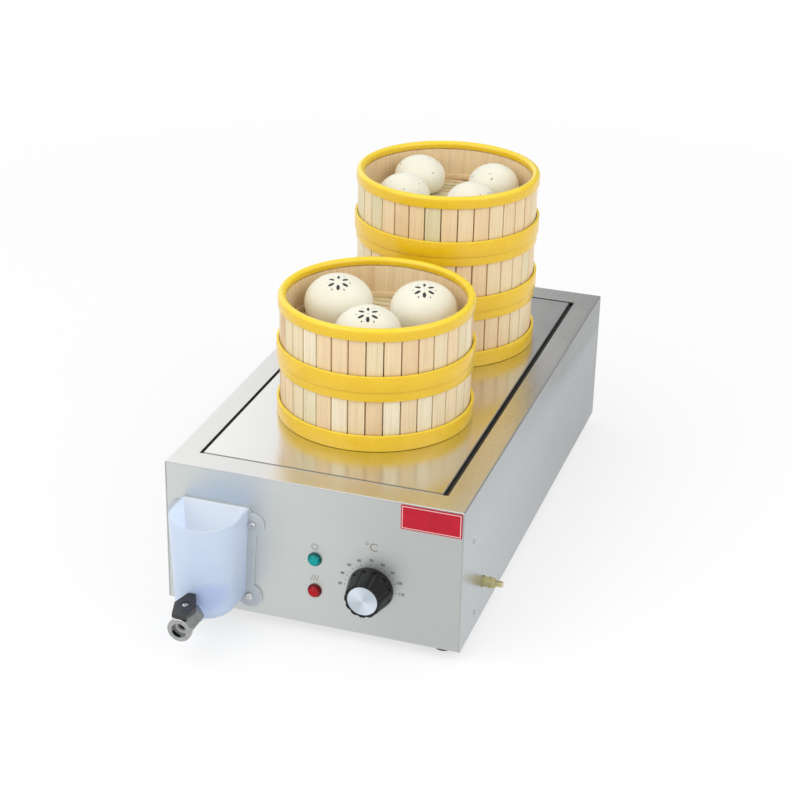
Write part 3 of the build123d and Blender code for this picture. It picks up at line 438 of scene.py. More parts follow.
def make_lens(name, colour, node):
    """Coloured clear plastic, with a painted glow that is strongest in the middle, and dark at the edge."""
    finish = Finish(
        name, Specular_IOR_Level=0.15, Coat_Weight=0.10, Coat_Roughness=0.04, Emission_Strength=0.30
    )
    x, _, z = finish.axes(middle(node))
    radius = ring_size(node)[0] * MM
    reach = (x * x + z * z).root()
    cell = finish.noise(420.0, 1)
    edge = reach.rise(0.62 * radius, 0.98 * radius) + 0.5 * (cell - 0.5)
    finish.feed(
        Base_Color=finish.mix(edge, colour, darker(colour, 0.30)),
        # Painted light: an emission that fades from the middle towards the edge.
        Emission_Color=finish.mix(reach.rise(0.1 * radius, 0.8 * radius), colour, darker(colour, 0.1)),
        Roughness=0.08 + 0.10 * (cell - 0.5),
    )


def make_enamel(control):
    """Gloss red enamel with a thin pale line inside its edge."""
    line_start, line_end = 1.1 * MM, 1.9 * MM
    low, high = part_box("name_plate")
    half = (high - low) / 2
    finish = Finish("red_enamel", Specular_IOR_Level=0.2, Coat_Weight=0.1, Coat_Roughness=0.15)
    x, _, z = finish.axes(middle("name_plate"))
    edge = (x.size() - half.x).over(z.size() - half.z) * -1
    line = (edge > line_start) * (edge < line_end)
    cloud = finish.noise(120.0, 3)
    enamel = finish.mix(cloud.rise(0.3, 0.7), darker(control.red_plate, 0.86), control.red_plate)
    finish.feed(
        Base_Color=finish.mix(line * 0.85, enamel, control.plate_line),
        Roughness=0.30 + 0.15 * (cloud - 0.5),
        Normal=finish.bump(line, 0.00006, 0.6),
    )


def make_box_plastic():
    """Milky translucent moulding, bluer towards the bottom and in a round spot low in the middle, with
    painted light: its inside faces glow.
    """
    spot_x, spot_z, spot_edge, spot_core = 0.014, 0.036, 0.00045, 0.00002
    flange_back, flange_front = -0.0032, -0.0024
    floor_z, half_foot, half_mouth = 0.014, 0.0295, 0.0340
    finish = Finish(
        "box_plastic", Transmission_Weight=0.10, IOR=1.30, Subsurface_Weight=0.5, Subsurface_Scale=0.004,
        Subsurface_Radius=(1.0, 1.0, 1.0), Specular_IOR_Level=0.25, Emission_Strength=1.0,
    )
    cloud = finish.noise(22.0, 3)
    low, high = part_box("water_box")
    x, y, z = finish.axes(Vector(((low.x + high.x) / 2, high.y, low.z)))
    # Bluer towards the bottom and in a round spot low in the middle, with some noise.
    depth = z.rise(0.0, 0.09, 0.35, 0.0) + 0.5 * (cloud - 0.5)
    spot = (x - spot_x) * (x - spot_x) + (z - spot_z) * (z - spot_z)
    depth = depth.over(spot.rise(spot_edge, spot_core, 0.0, 0.8))
    milk = finish.mix(depth, (0.60, 0.675, 0.80), (0.42, 0.52, 0.75))
    # Painted light: faces that look into the box, above its floor, glow pale grey-blue, and the rest glows
    # only faintly.
    out_x, out_y, _ = finish.facing()
    within = z.rise(0.0, high.z - low.z, half_foot, half_mouth) - x.size()
    inward = (x * out_x + (y + (high.y - low.y) / 2) * out_y).rise(0.0, -0.004)
    inside = inward * (z > floor_z) * (within > 0)
    finish.feed(
        Base_Color=finish.mix(y.rise(flange_back, flange_front), milk, (0.58, 0.62, 0.64)),
        Emission_Color=finish.mix(inside, (0.005, 0.007, 0.010), (0.24, 0.25, 0.27)),
        Roughness=0.34 + 0.2 * (cloud - 0.5),
        Normal=finish.bump(finish.noise(260.0, 2), 0.0001, 0.15),
    )


def make_bamboo(name, tier, stretch, seam_share=0.55):
    """Planed bamboo: long fibres, a tone of its own for each strip, darker dashes."""
    finish = Finish(name, Specular_IOR_Level=0.35)
    tone = finish.node("Attribute", {"attribute_name": "tone"}, output="Fac")
    shift = finish.node("CombineXYZ", values={0: tone * 37.0, 1: tone * 91.0, 2: tone * 53.0})
    fibre = finish.noise(1.0, 4, stretch, shift)
    dash = finish.noise(1.0, 2, tuple(3 * value for value in stretch), shift)
    patch = finish.noise(30.0, 3)
    stops = [
        (0, tier.deep), (0.2, (0.84, 0.64, 0.39)), (0.5, (0.86, 0.70, 0.45)), (0.72, (0.82, 0.71, 0.47)),
        (0.82, (0.72, 0.67, 0.43)), (0.9, (0.88, 0.80, 0.58)), (1, tier.pale),
    ]
    place = tone * 0.9 + 0.22 * (patch - 0.5) + 0.05
    base = finish.node("ValToRGB", {"stops": stops}, {0: place}, output="Color")
    marked = finish.mix(dash.rise(0.58, 0.80) * seam_share, base, tier.seam)
    finish.feed(
        Base_Color=finish.mix(fibre.rise(0.35, 0.75) * 0.40, marked, tier.deep),
        Roughness=0.46 + 0.25 * (fibre - 0.5),
        Normal=finish.bump(fibre, 0.00018, 0.5),
    )


def make_rim_plastic(tier):
    """Glossy yellow plastic with flow marks and rubbed patches, painted lighter on its upward faces and
    darker on its upright ones.
    """
    finish = Finish(
        "yellow_plastic", Subsurface_Weight=0.10, Subsurface_Scale=0.003, Subsurface_Radius=(1.0, 0.8, 0.5),
        Coat_Weight=0.15, Coat_Roughness=0.15,
    )
    flow = finish.noise(1.0, 3, (26.0, 26.0, 190.0))
    cloud = finish.noise(55.0, 3)
    _, _, upward = finish.facing()
    # Painted light and shade: upward faces lean towards the lighter yellow.
    tone = cloud.rise(0.2, 0.7) * 0.12 + flow.rise(0.3, 0.7) * 0.10 + upward.rise(0.1, 0.8, 0.0, 0.75)
    finish.feed(
        Base_Color=finish.mix(tone, tier.yellow, tier.lit_top_yellow),
        Roughness=0.27 + 0.06 * (cloud - 0.5),
        Normal=finish.bump(flow, 0.00015, 0.12),
    )


def make_dough(bun):
    """Steamed dough: a soft skin with pores and a faint sheen."""
    finish = Finish(
        "bun_dough", Subsurface_Weight=0.35, Subsurface_Scale=0.004, Subsurface_Radius=(1.0, 0.9, 0.75),
        Sheen_Weight=0.12, Specular_IOR_Level=0.35,
    )
    cloud = finish.noise(40.0, 3)
    pore = finish.noise(700.0, 3)
    lump = finish.noise(95.0, 3)
    finish.feed(
        Base_Color=finish.mix(cloud.rise(0.3, 0.75), darker(bun.dough, 0.95), bun.dough),
        Roughness=0.50 + 0.15 * (lump - 0.5),
        Normal=finish.bump(pore * 0.35 + lump, 0.0006, 0.30),
    )
    speckled("sesame", bun.seed, 900.0, 3, 0.35, 0.4, 0.7)
    speckled("herb", bun.herb, 900.0, 3, 0.35, 0.4, 0.7)


def mode(name):
    bpy.ops.object.mode_set(mode=name)


def deselect():
    """Nothing selected and nothing in edit mode."""
    if bpy.context.object and bpy.context.object.mode != "OBJECT":
        mode("OBJECT")
    bpy.ops.object.select_all(action="DESELECT")


def choose(obj):
    deselect()
    obj.select_set(True)
    bpy.context.view_layer.objects.active = obj


def settle(obj):
    """The object's place, turn and size go into its mesh."""
    choose(obj)
    bpy.ops.object.transform_apply(location=True, rotation=True, scale=True)
    return obj


def shape_with(obj, kind, **settings):
    """One modifier, applied."""
    choose(obj)
    modifier = obj.modifiers.new(kind.lower(), kind)
    for key, value in settings.items():
        setattr(modifier, key, value)
    bpy.ops.object.modifier_apply(modifier=modifier.name)
    return obj


def smooth(obj, degrees=35):
    choose(obj)
    bpy.ops.object.shade_smooth_by_angle(angle=math.radians(degrees))
    return obj


def round_edges(obj, width, segments=2, angle=40):
    """Rounds the edges that are sharper than an angle in degrees."""
    return shape_with(
        obj, "BEVEL", width=width, segments=segments, limit_method="ANGLE", angle_limit=math.radians(angle)
    )


def edit_all(obj):
    """Edit mode with the whole mesh selected."""
    choose(obj)
    mode("EDIT")
    bpy.ops.mesh.select_all(action="SELECT")


def face_outwards(obj):
    edit_all(obj)
    bpy.ops.mesh.remove_doubles(threshold=1e-6)
    bpy.ops.mesh.normals_make_consistent(inside=False)
    mode("OBJECT")
    return obj


def join(pieces):
    deselect()
    for piece in pieces:
        piece.select_set(True)
    bpy.context.view_layer.objects.active = pieces[0]
    bpy.ops.object.join()
    return bpy.context.object


def copy_of(obj):
    """A copy with a mesh of its own."""
    made = obj.copy()
    made.data = obj.data.copy()
    bpy.context.scene.collection.objects.link(made)
    return made


def own(obj, name, body, finish, slot=None):
    """The piece's name, material and the body that it rides on."""
    obj.name = name
    obj.data.name = name
    obj.data.materials.clear()
    obj.data.materials.append(FINISHES[finish])
    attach(obj, body)
    return obj


def stand_for(obj, node, name):
    """The piece is shown in place of a CAD node."""
    own(obj, name, BODY_OF[node], SLOT_OF[node], SLOT_OF[node])
    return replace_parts(obj, node)


def lathe(profile, sides, centre=(0, 0, 0), turn=(0, 0, 0), closed=False, cap=False):
    """A ring of points extruded and resized along a profile of (radius, height) in millimetres."""
    deselect()
    radius, height = profile[0]
    bpy.ops.mesh.primitive_circle_add(vertices=sides, radius=radius * MM, location=(0, 0, height * MM))
    obj = bpy.context.object
    edit_all(obj)
    if cap:
        bpy.ops.mesh.edge_face_add()
        bpy.ops.mesh.select_all(action="SELECT")
    for next_radius, next_height in profile[1:]:
        step = (0, 0, (next_height - height) * MM)
        bpy.ops.mesh.extrude_edges_move(TRANSFORM_OT_translate={"value": step})
        if next_radius:
            share = next_radius / radius
            bpy.ops.transform.resize(value=(share, share, 1), center_override=(0, 0, next_height * MM))
        else:
            bpy.ops.mesh.merge(type="CENTER")
        radius, height = next_radius, next_height
    if closed:
        bpy.ops.mesh.select_all(action="DESELECT")
        bpy.ops.mesh.select_non_manifold()
        bpy.ops.mesh.bridge_edge_loops()
    mode("OBJECT")
    settle(obj)
    obj.rotation_euler = turn
    obj.location = centre
    return face_outwards(settle(obj))


def ring(radii, heights, sides, centre):
    """A plain ring between two radii and two heights in millimetres."""
    (inner, outer), (low, high) = radii, heights
    return lathe([(inner, low), (outer, low), (outer, high), (inner, high)], sides, centre, closed=True)


def block(size, centre=(0, 0, 0), bevel=0.0006, segments=2):
    """A block with rounded edges, sizes in metres."""
    deselect()
    bpy.ops.mesh.primitive_cube_add(size=1, location=(0, 0, 0))
    obj = bpy.context.object
    obj.scale = size
    settle(obj)
    shape_with(obj, "BEVEL", width=bevel, segments=segments)
    obj.location = centre
    return settle(obj)


def refined(node, name, width, segments=2, angle=40):
    """A CAD piece's own shape with its sharp edges rounded."""
    obj = copy_of(frame["nodes"][node])
    for key in list(obj.keys()):
        del obj[key]
    obj.parent = None
    obj.matrix_world = Matrix.Identity(4)
    edit_all(obj)
    bpy.ops.mesh.remove_doubles(threshold=2e-6)
    bpy.ops.mesh.dissolve_limited(angle_limit=math.radians(0.4))
    mode("OBJECT")
    round_edges(obj, width, segments, angle)
    smooth(obj, 32)
    shape_with(obj, "WEIGHTED_NORMAL", keep_sharp=True)
    return stand_for(obj, node, name)


def refine_all(edges):
    for node, look in edges.items():
        refined(node, *look)


def tinted(obj, tone_at):
    """A tone for each point of the mesh, read by the bamboo."""
    tones = obj.data.attributes.new("tone", "FLOAT", "POINT")
    tones.data.foreach_set("value", [tone_at(vertex.co) for vertex in obj.data.vertices])
    return obj


class STEAMER_OT_stage(bpy.types.Operator):
    """Set the floor, the soft studio light and the camera"""

    bl_idname = "steamer.stage"
    bl_label = "Stage"

    AZIMUTH = 17.793
    ELEVATION = 25.291
    ROLL = 1.3066
    PLACE = (697.377, -1454.844, 979.879)
    FOCAL_PIXELS = 1880.617
    FRAME_PIXELS = 791
    SENSOR = 36.0
    CLIP = (0.1, 50)
    LAMP_TARGET = Vector((0, 0, 0.12))
    LAMPS = {"key": (2.2, Vector((-1.1, -1.5, 1.9))), "fill": (1.6, Vector((1.7, -0.6, 1.3)))}
    FLOOR_SIZE = 12

    def camera(self):
        azimuth, elevation, roll = (math.radians(a) for a in (self.AZIMUTH, self.ELEVATION, self.ROLL))
        turn = Matrix.Rotation(azimuth, 4, "Z") @ Matrix.Rotation(math.pi / 2 - elevation, 4, "X")
        data = bpy.data.cameras.new("camera")
        data.sensor_width = self.SENSOR
        data.lens = self.FOCAL_PIXELS / self.FRAME_PIXELS * self.SENSOR
        data.clip_start, data.clip_end = self.CLIP
        camera = bpy.data.objects.new("camera", data)
        camera.matrix_world = Matrix.Translation(at(*self.PLACE)) @ turn @ Matrix.Rotation(roll, 4, "Z")
        bpy.context.scene.collection.objects.link(camera)
        bpy.context.scene.camera = camera

    def lamp(self, name, power):
        size, place = self.LAMPS[name]
        data = bpy.data.lights.new(name, "AREA")
        data.energy = power
        data.size = size
        lamp = bpy.data.objects.new(name, data)
        lamp.location = place
        lamp.rotation_euler = (self.LAMP_TARGET - place).to_track_quat("-Z", "Y").to_euler()
        bpy.context.scene.collection.objects.link(lamp)

    def sky(self, stage):
        """Even light for surfaces, white for the camera, and a studio's soft bands for gloss."""
        world = bpy.data.worlds.new("studio")
        bpy.context.scene.world = world
        world.use_nodes = True
        sky = Nodes(world.node_tree)
        sky.tree.nodes.clear()
        camera, gloss, clear = sky.rays()
        x, y, z = sky.split(sky.node("TexCoord", output="Generated"))
        left = x.rise(-0.17, -0.40)
        overhead = z.rise(0.45, 0.85)
        ahead = y.rise(0.2, 0.6)
        band = 1 + ahead * left * 0.30 - ahead * (1 - left) * (1 - overhead) * 0.72
        strength = camera + clear + gloss * band + (1 - camera.over(clear).over(gloss)) * stage.sky
        background = sky.node("Background", values={"Color": (1, 1, 1, 1), "Strength": strength})
        sky.node("OutputWorld", values={"Surface": background})

    def floor(self, stage):
        """A pale floor that keeps its shadow near the machine and turns white further off."""
        near_square, far_square = 0.5, 4.0
        deselect()
        bpy.ops.mesh.primitive_grid_add(x_subdivisions=8, y_subdivisions=8, size=self.FLOOR_SIZE)
        floor = bpy.context.object
        floor.name = "floor"
        finish = Finish("floor", Roughness=0.85, Specular_IOR_Level=0.1)
        patch = finish.noise(0.8, 2)
        finish.feed(Base_Color=finish.mix(patch.rise(0.3, 0.7), darker(stage.floor, 0.995), stage.floor))
        camera, gloss, clear = finish.rays()
        x, y, _ = finish.axes()
        glow = (x * x + y * y).rise(near_square, far_square, stage.glow, 1.0)
        white = finish.node("Emission", values={"Color": (1, 1, 1, 1), "Strength": 1.02})
        surface = Signal(finish, finish.shader.outputs["BSDF"])
        share = camera.over(gloss).over(clear) * glow
        mixed = finish.node("MixShader", values={0: share, 1: surface, 2: white})
        finish.tree.links.new(mixed.socket, finish.tree.nodes["Material Output"].inputs["Surface"])
        floor.data.materials.append(finish.material)

    def execute(self, context):
        stage = context.scene.steamer_stage
        context.scene.view_settings.view_transform = "Standard"
        self.camera()
        self.sky(stage)
        self.floor(stage)
        for name in self.LAMPS:
            self.lamp(name, getattr(stage, name))
        return {"FINISHED"}


class STEAMER_OT_finishes(bpy.types.Operator):
    """Make every material and give the CAD nodes theirs"""

    bl_idname = "steamer.finishes"
    bl_label = "Finishes"

    def execute(self, context):
        scene = context.scene
        make_metals(scene.steamer_steel)
        make_plastics(scene.steamer_control)
        make_enamel(scene.steamer_control)
        make_box_plastic()
        along, across, broad = 9.0, 900.0, 260.0
        make_bamboo("bamboo_stave", scene.steamer_tier, (across, across, along))
        make_bamboo("bamboo_slat", scene.steamer_tier, (along, across, across))
        make_bamboo("bamboo_lining", scene.steamer_tier, (broad, broad, along), seam_share=0.12)
        make_rim_plastic(scene.steamer_tier)
        make_dough(scene.steamer_bun)
        for name, obj in frame["nodes"].items():
            obj.data.materials.clear()
            obj.data.materials.append(FINISHES[SLOT_OF[name]])
        return {"FINISHED"}


class STEAMER_OT_casing(bpy.types.Operator):
    """Round the edges of the sheet metal, feet and side fittings"""

    bl_idname = "steamer.casing"
    bl_label = "Casing"

    OPENING = ((24.5, 26.5, 0), (275.7, 529.5, 0))
    # Sizes of the strip that is painted shade in the steam plate's gaps.
    SHADE_STRIP_GAP = 0.0004
    SHADE_STRIP_LIFT = 0.0002
    SHADE_STRIP_DROP = 0.0035
    SHADE_STRIP_SETBACK = 0.001
    EDGES = {
        "casing": ("casing_shell", 0.00025),
        "front_panel": ("front_sheet", 0.0002),
        "rear_panel": ("rear_sheet", 0.0002),
        "steam_plate": ("steam_cover", 0.00012),
        "feet": ("rubber_feet", 0.0004),
        "earth_nuts": ("stud_nuts", 0.0004),
        "earth_stud": ("stud", 0.0002),
        "cable_gland": ("rear_gland", 0.0004),
        "side_rivets": ("rivets", 0.0002),
    }

    def execute(self, context):
        refine_all(self.EDGES)
        self.gap_shade_strip()
        return {"FINISHED"}

    def gap_shade_strip(self):
        """A black strip on the ledge, in the gaps beside and behind the steam plate, standing in for the
        shade down in those gaps: painted shade, with a rubber finish.
        """
        low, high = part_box("steam_plate")
        lip_low, lip_high = (at(*corner) for corner in self.OPENING)
        base, gap, drop = low.z - self.SHADE_STRIP_LIFT, self.SHADE_STRIP_GAP, self.SHADE_STRIP_DROP
        front, back = lip_low.y + self.SHADE_STRIP_SETBACK, lip_high.y - gap
        strips = [
            (lip_low.x + gap, front, low.x - gap, back, drop / 2),
            (high.x + gap, front, lip_high.x - gap, back, drop),
            (low.x - gap / 2, high.y + gap, high.x + gap / 2, back, drop / 4),
        ]
        pieces = []
        for x0, y0, x1, y1, depth in strips:
            top = high.z - depth
            centre = ((x0 + x1) / 2, (y0 + y1) / 2, (base + top) / 2)
            pieces.append(block((x1 - x0, y1 - y0, top - base), centre))
        own(smooth(join(pieces)), "ledge_seal", "machine", "seal_rubber", "foot_rubber")


class STEAMER_OT_controls(bpy.types.Operator):
    """Print the dial and make the knob, lamps and name plate"""

    bl_idname = "steamer.controls"
    bl_label = "Controls"

    INK_HEIGHT = 0.00008
    INK_SPREAD = 0.00010
    FIRST_NUMBER = 30
    NUMBER_STEP = 10
    LONG_TICK, SHORT_TICK, TICK_WIDTH = 2.1 * MM, 1.3 * MM, 0.5 * MM
    LAMP_SIGN_RISE, KNOB_SIGN_RISE = 14 * MM, 45 * MM
    KNOB_SIGN_HEIGHT = 12 * MM
    EDGES = {
        "knob_grip": ("knob_body", 0.0005, 3, 25),
        "knob_cap": ("knob_disc", 0.0001),
        "name_plate": ("bare_plate", 0.0002),
    }

    def spot(self, node, rise=0.0):
        """The place for a mark on the front panel, at a rise over a CAD node's middle."""
        point = middle(node) + Vector((0, 0, rise))
        point.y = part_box("front_panel")[0].y - self.INK_HEIGHT / 2
        return point

    def mark(self, width, length, place, turn):
        """A printed bar on the front panel."""
        piece = block((width, length, self.INK_HEIGHT), bevel=self.INK_HEIGHT / 4, segments=1)
        piece.rotation_euler = (math.pi / 2, 0, 0)
        settle(piece)
        piece.rotation_euler = (0, -turn, 0)
        piece.location = place
        return settle(piece)

    def lettering(self, text, height, place):
        """Printed figures, as a mesh."""
        deselect()
        bpy.ops.object.text_add()
        piece = bpy.context.object
        piece.data.body = text
        piece.data.size = height
        piece.data.align_x = "CENTER"
        piece.data.align_y = "CENTER"
        piece.data.extrude = self.INK_HEIGHT / 2
        piece.data.offset = self.INK_SPREAD
        bpy.ops.object.convert(target="MESH")
        piece = bpy.context.object
        piece.rotation_euler = (math.pi / 2, 0, 0)
        piece.location = place
        return settle(piece)

    def dial(self, control):
        centre = self.spot("knob_grip")
        last = control.number_count - 1
        pieces = []
        for step in range(2 * last + 1):
            turn = math.pi * (1 - step / (2 * last))
            numbered = step % 2 == 0
            reach = self.LONG_TICK if numbered else self.SHORT_TICK
            out = Vector((math.cos(turn), 0, math.sin(turn)))
            pieces.append(self.mark(reach, self.TICK_WIDTH, centre + out * control.tick_radius, turn))
            if numbered:
                number = str(self.FIRST_NUMBER + self.NUMBER_STEP * step // 2)
                place = centre + out * control.number_radius
                pieces.append(self.lettering(number, control.number_height, place))
        own(face_outwards(join(pieces)), "dial_print", "machine", "ink")

    def arc(self, radius, thickness, place, start, sweep, steps):
        """Part of a printed ring, as short bars end to end, angles in degrees."""
        pieces = []
        span = math.radians(sweep) / steps
        for step in range(steps):
            turn = math.radians(start) + span * (step + 0.5)
            out = Vector((math.cos(turn), 0, math.sin(turn))) * radius
            pieces.append(self.mark(thickness, span * radius * 1.25, place + out, turn))
        return pieces

    def symbols(self):
        """Plain signs for power, heat and temperature where captions would be."""
        radius, line, bar, bar_rise = 3.1 * MM, 0.7 * MM, 3.6 * MM, 2.2 * MM
        power = self.spot("green_lamp_lens", self.LAMP_SIGN_RISE)
        pieces = self.arc(radius, line, power, 125, 290, 28)
        pieces.append(self.mark(line, bar, power + Vector((0, 0, bar_rise)), 0))
        radius, line, pitch, swing, lift = 1.8 * MM, 0.6 * MM, 3.0 * MM, 0.9 * MM, 1.6 * MM
        heat = self.spot("red_lamp_lens", self.LAMP_SIGN_RISE)
        for column in (-1, 0, 1):
            for side, start in ((1, -62), (-1, 118)):
                bend = heat + Vector((column * pitch - side * swing, 0, side * lift))
                pieces += self.arc(radius, line, bend, start, 124, 10)
        knob = self.spot("knob_grip", self.KNOB_SIGN_RISE)
        pieces.append(self.lettering("°C", self.KNOB_SIGN_HEIGHT, knob))
        own(face_outwards(join(pieces)), "panel_symbols", "machine", "caption_ink")

    def lens(self, node, name):
        """A cut lens: a round flange and a table with sloping facets."""
        facets = 12
        low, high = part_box(node)
        radius, depth = (high.x - low.x) / 2, high.y - low.y
        deselect()
        bpy.ops.mesh.primitive_cylinder_add(vertices=facets, radius=radius * 0.94, depth=depth)
        obj = settle(bpy.context.object)
        mode("EDIT")
        bpy.ops.mesh.select_all(action="DESELECT")
        mode("OBJECT")
        for face in obj.data.polygons:
            face.select = face.normal.z > 0.9
        mode("EDIT")
        bpy.ops.mesh.inset(thickness=radius * 0.30, depth=0)
        bpy.ops.transform.rotate(
            value=TURN / (2 * facets), orient_axis="Z", center_override=(0, 0, depth / 2)
        )
        bpy.ops.mesh.inset(thickness=radius * 0.28, depth=-depth * 0.10)
        mode("OBJECT")
        for vertex in obj.data.vertices:
            if vertex.co.z > 0 and vertex.co.xy.length > radius * 0.9:
                vertex.co.z = depth * 0.02
        obj.rotation_euler = (math.pi / 2, 0, 0)
        obj.location = (low + high) / 2
        settle(obj)
        round_edges(obj, 0.00012, segments=1, angle=12)
        edge = radius / MM
        profile = [(edge * 0.97, 0), (edge, 0.3), (edge, 1.1), (edge * 0.95, 1.4)]
        back = ((low.x + high.x) / 2, high.y, (low.z + high.z) / 2)
        flange = lathe(profile, 64, back, (math.pi / 2, 0, 0), cap=True)
        smooth(flange, 30)
        stand_for(join([obj, flange]), node, name)

    def execute(self, context):
        control = context.scene.steamer_control
        self.dial(control)
        self.symbols()
        self.lens("green_lamp_lens", "green_lens_cut")
        self.lens("red_lamp_lens", "red_lens_cut")
        refine_all(self.EDGES)
        return {"FINISHED"}


class STEAMER_OT_water_box(bpy.types.Operator):
    """Make the water box, its screws and the drain valve"""

    bl_idname = "steamer.water_box"
    bl_label = "Water box"

    EDGES = {
        "water_box": ("box_moulding", 0.0006, 3, 50),
        "water_box_screws": ("box_screws", 0.00015),
        "valve_body": ("drain_body", 0.0004, 3),
        "valve_handle": ("drain_handle", 0.0004, 3, 30),
        "valve_handle_screw": ("handle_screw", 0.00015),
    }

    def execute(self, context):
        refine_all(self.EDGES)
        return {"FINISHED"}


class STEAMER_OT_tiers(bpy.types.Operator):
    """Make the bamboo tiers and their plastic rims"""

    bl_idname = "steamer.tiers"
    bl_label = "Tiers"

    RANDOM_SEED = 7
    STAVE_RADII = (91.7, 96.3)
    LINING_RADII = (90.15, 91.45)
    LINING_FOOT, LINING_DROP = 0.2, 5.6
    HOOP_RADII, HOOP_HEIGHTS = (88.4, 91.2), (0.1, 6.2)
    BOARDS = 10
    SLATS, SLAT_PITCH = 40, 11 * MM
    EDGE = 0.0005

    def rim(self, node, name, profile, sides):
        """A turned rim with softened edges."""
        obj = lathe(profile, sides, centred(node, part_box(node)[1].z), closed=True)
        stand_for(smooth(round_edges(obj, self.EDGE), 50), node, name)

    def top_profile(self, node):
        """A beaded lip that hangs over the staves on both sides."""
        outer, band = ring_size(node)
        width, wall, lip, channel, steps = 8.289, 1.4, -7.5, -3.2, 12
        inner = outer - width
        bead = width / 2
        core = outer - bead
        arc = [
            (core + bead * math.cos(turn), -bead + bead * math.sin(turn))
            for turn in (math.pi * step / steps for step in range(steps + 1))
        ]
        inside = [(inner, lip), (inner + wall, lip), (inner + wall, channel), (outer - wall, channel)]
        return [(outer - wall, -band), (outer, -band), *arc, *inside]

    def bottom_profile(self, node):
        """A band round the staves, with a shelf for the floor and a skirt over the tier below."""
        outer, band = ring_size(node)
        slot, shelf, lap = outer - 2.9, outer - 2.9 - 12.2, outer - 1.2
        skirt, seat, sill, crest = (rise - band for rise in (2.5, 5.5, 9, 11))
        web, step = shelf + 5, shelf + 7
        return [
            (lap, -band), (outer, -band), (outer, -band * 0.5), (outer, 0), (slot, 0), (slot, seat),
            (step, seat), (step, crest), (shelf, crest), (shelf, sill), (web, sill), (web, skirt),
            (lap, skirt),
        ]

    def staves(self, tier, settings, generator):
        """Flat bamboo strips, each planed a little differently, set round the tier."""
        node = f"{tier}_staves"
        low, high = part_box(node)
        centre = (low + high) / 2
        inner, outer = (radius * MM for radius in self.STAVE_RADII)
        share = TURN / settings.staves
        width = 2 * inner * math.tan(share / 2) - settings.stave_gap
        pattern = block((outer - inner, width, high.z - low.z), bevel=0.00055)
        pieces = []
        for step in range(settings.staves):
            piece = copy_of(pattern)
            piece.scale = (1, generator.uniform(0.972, 1.0), 1)
            depth = generator.uniform(-0.25, 0.0) * MM
            turn = share * step
            piece.rotation_euler = (0, 0, turn)
            out = Vector((math.cos(turn), math.sin(turn), 0))
            piece.location = centre + out * ((outer + inner) / 2 + depth)
            tone = generator.random()
            pieces.append(tinted(settle(piece), lambda _: tone))
        bpy.data.objects.remove(pattern)
        stand_for(smooth(join(pieces), 30), node, f"{tier}_strips")

    def floor(self, tier, generator):
        """Split slats across three battens, each slat cut to the round."""
        node = f"{tier}_floor"
        tones = [generator.uniform(0.3, 1.0) for _ in range(self.SLATS)]
        front = middle(node).y
        tinted(
            refined(node, f"{tier}_slats", 0.0004),
            lambda co: tones[int((co.y - front) / self.SLAT_PITCH + self.SLATS / 2) % self.SLATS],
        )

    def hoop(self, tier, generator):
        """A thin bent strip that holds the slats down."""
        node = f"{tier}_floor"
        obj = ring(self.HOOP_RADII, self.HOOP_HEIGHTS, 120, centred(node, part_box(node)[1].z))
        tone = generator.uniform(0.2, 0.5)
        tinted(smooth(round_edges(obj, self.EDGE), 50), lambda _: tone)
        own(obj, f"{tier}_hoop", tier, "bamboo_slat", "bamboo_slat")

    def lining(self, tier, generator):
        """Broad thin boards bent round inside the staves."""
        node = f"{tier}_staves"
        floor_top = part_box(f"{tier}_floor")[1].z
        centre = centred(node, floor_top)
        top = (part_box(node)[1].z - floor_top) / MM - self.LINING_DROP
        obj = smooth(ring(self.LINING_RADII, (self.LINING_FOOT, top), 126, centre), 50)
        boards = [generator.random() for _ in range(self.BOARDS)]

        def tone_at(co):
            place = math.atan2(co.y - centre.y, co.x - centre.x) / TURN % 1
            return 0.12 + 0.45 * boards[int(place * self.BOARDS)]

        tinted(obj, tone_at)
        own(obj, f"{tier}_lining", tier, "bamboo_lining", "bamboo_stave")

    def execute(self, context):
        settings = context.scene.steamer_tier
        generator = random.Random(self.RANDOM_SEED)
        for tier in TIERS:
            self.lining(tier, generator)
            top, bottom = f"{tier}_top_rim", f"{tier}_bottom_rim"
            self.rim(top, f"{tier}_lip", self.top_profile(top), settings.sides)
            self.rim(bottom, f"{tier}_foot", self.bottom_profile(bottom), settings.sides)
            self.staves(tier, settings, generator)
            self.floor(tier, generator)
            self.hoop(tier, generator)
        return {"FINISHED"}


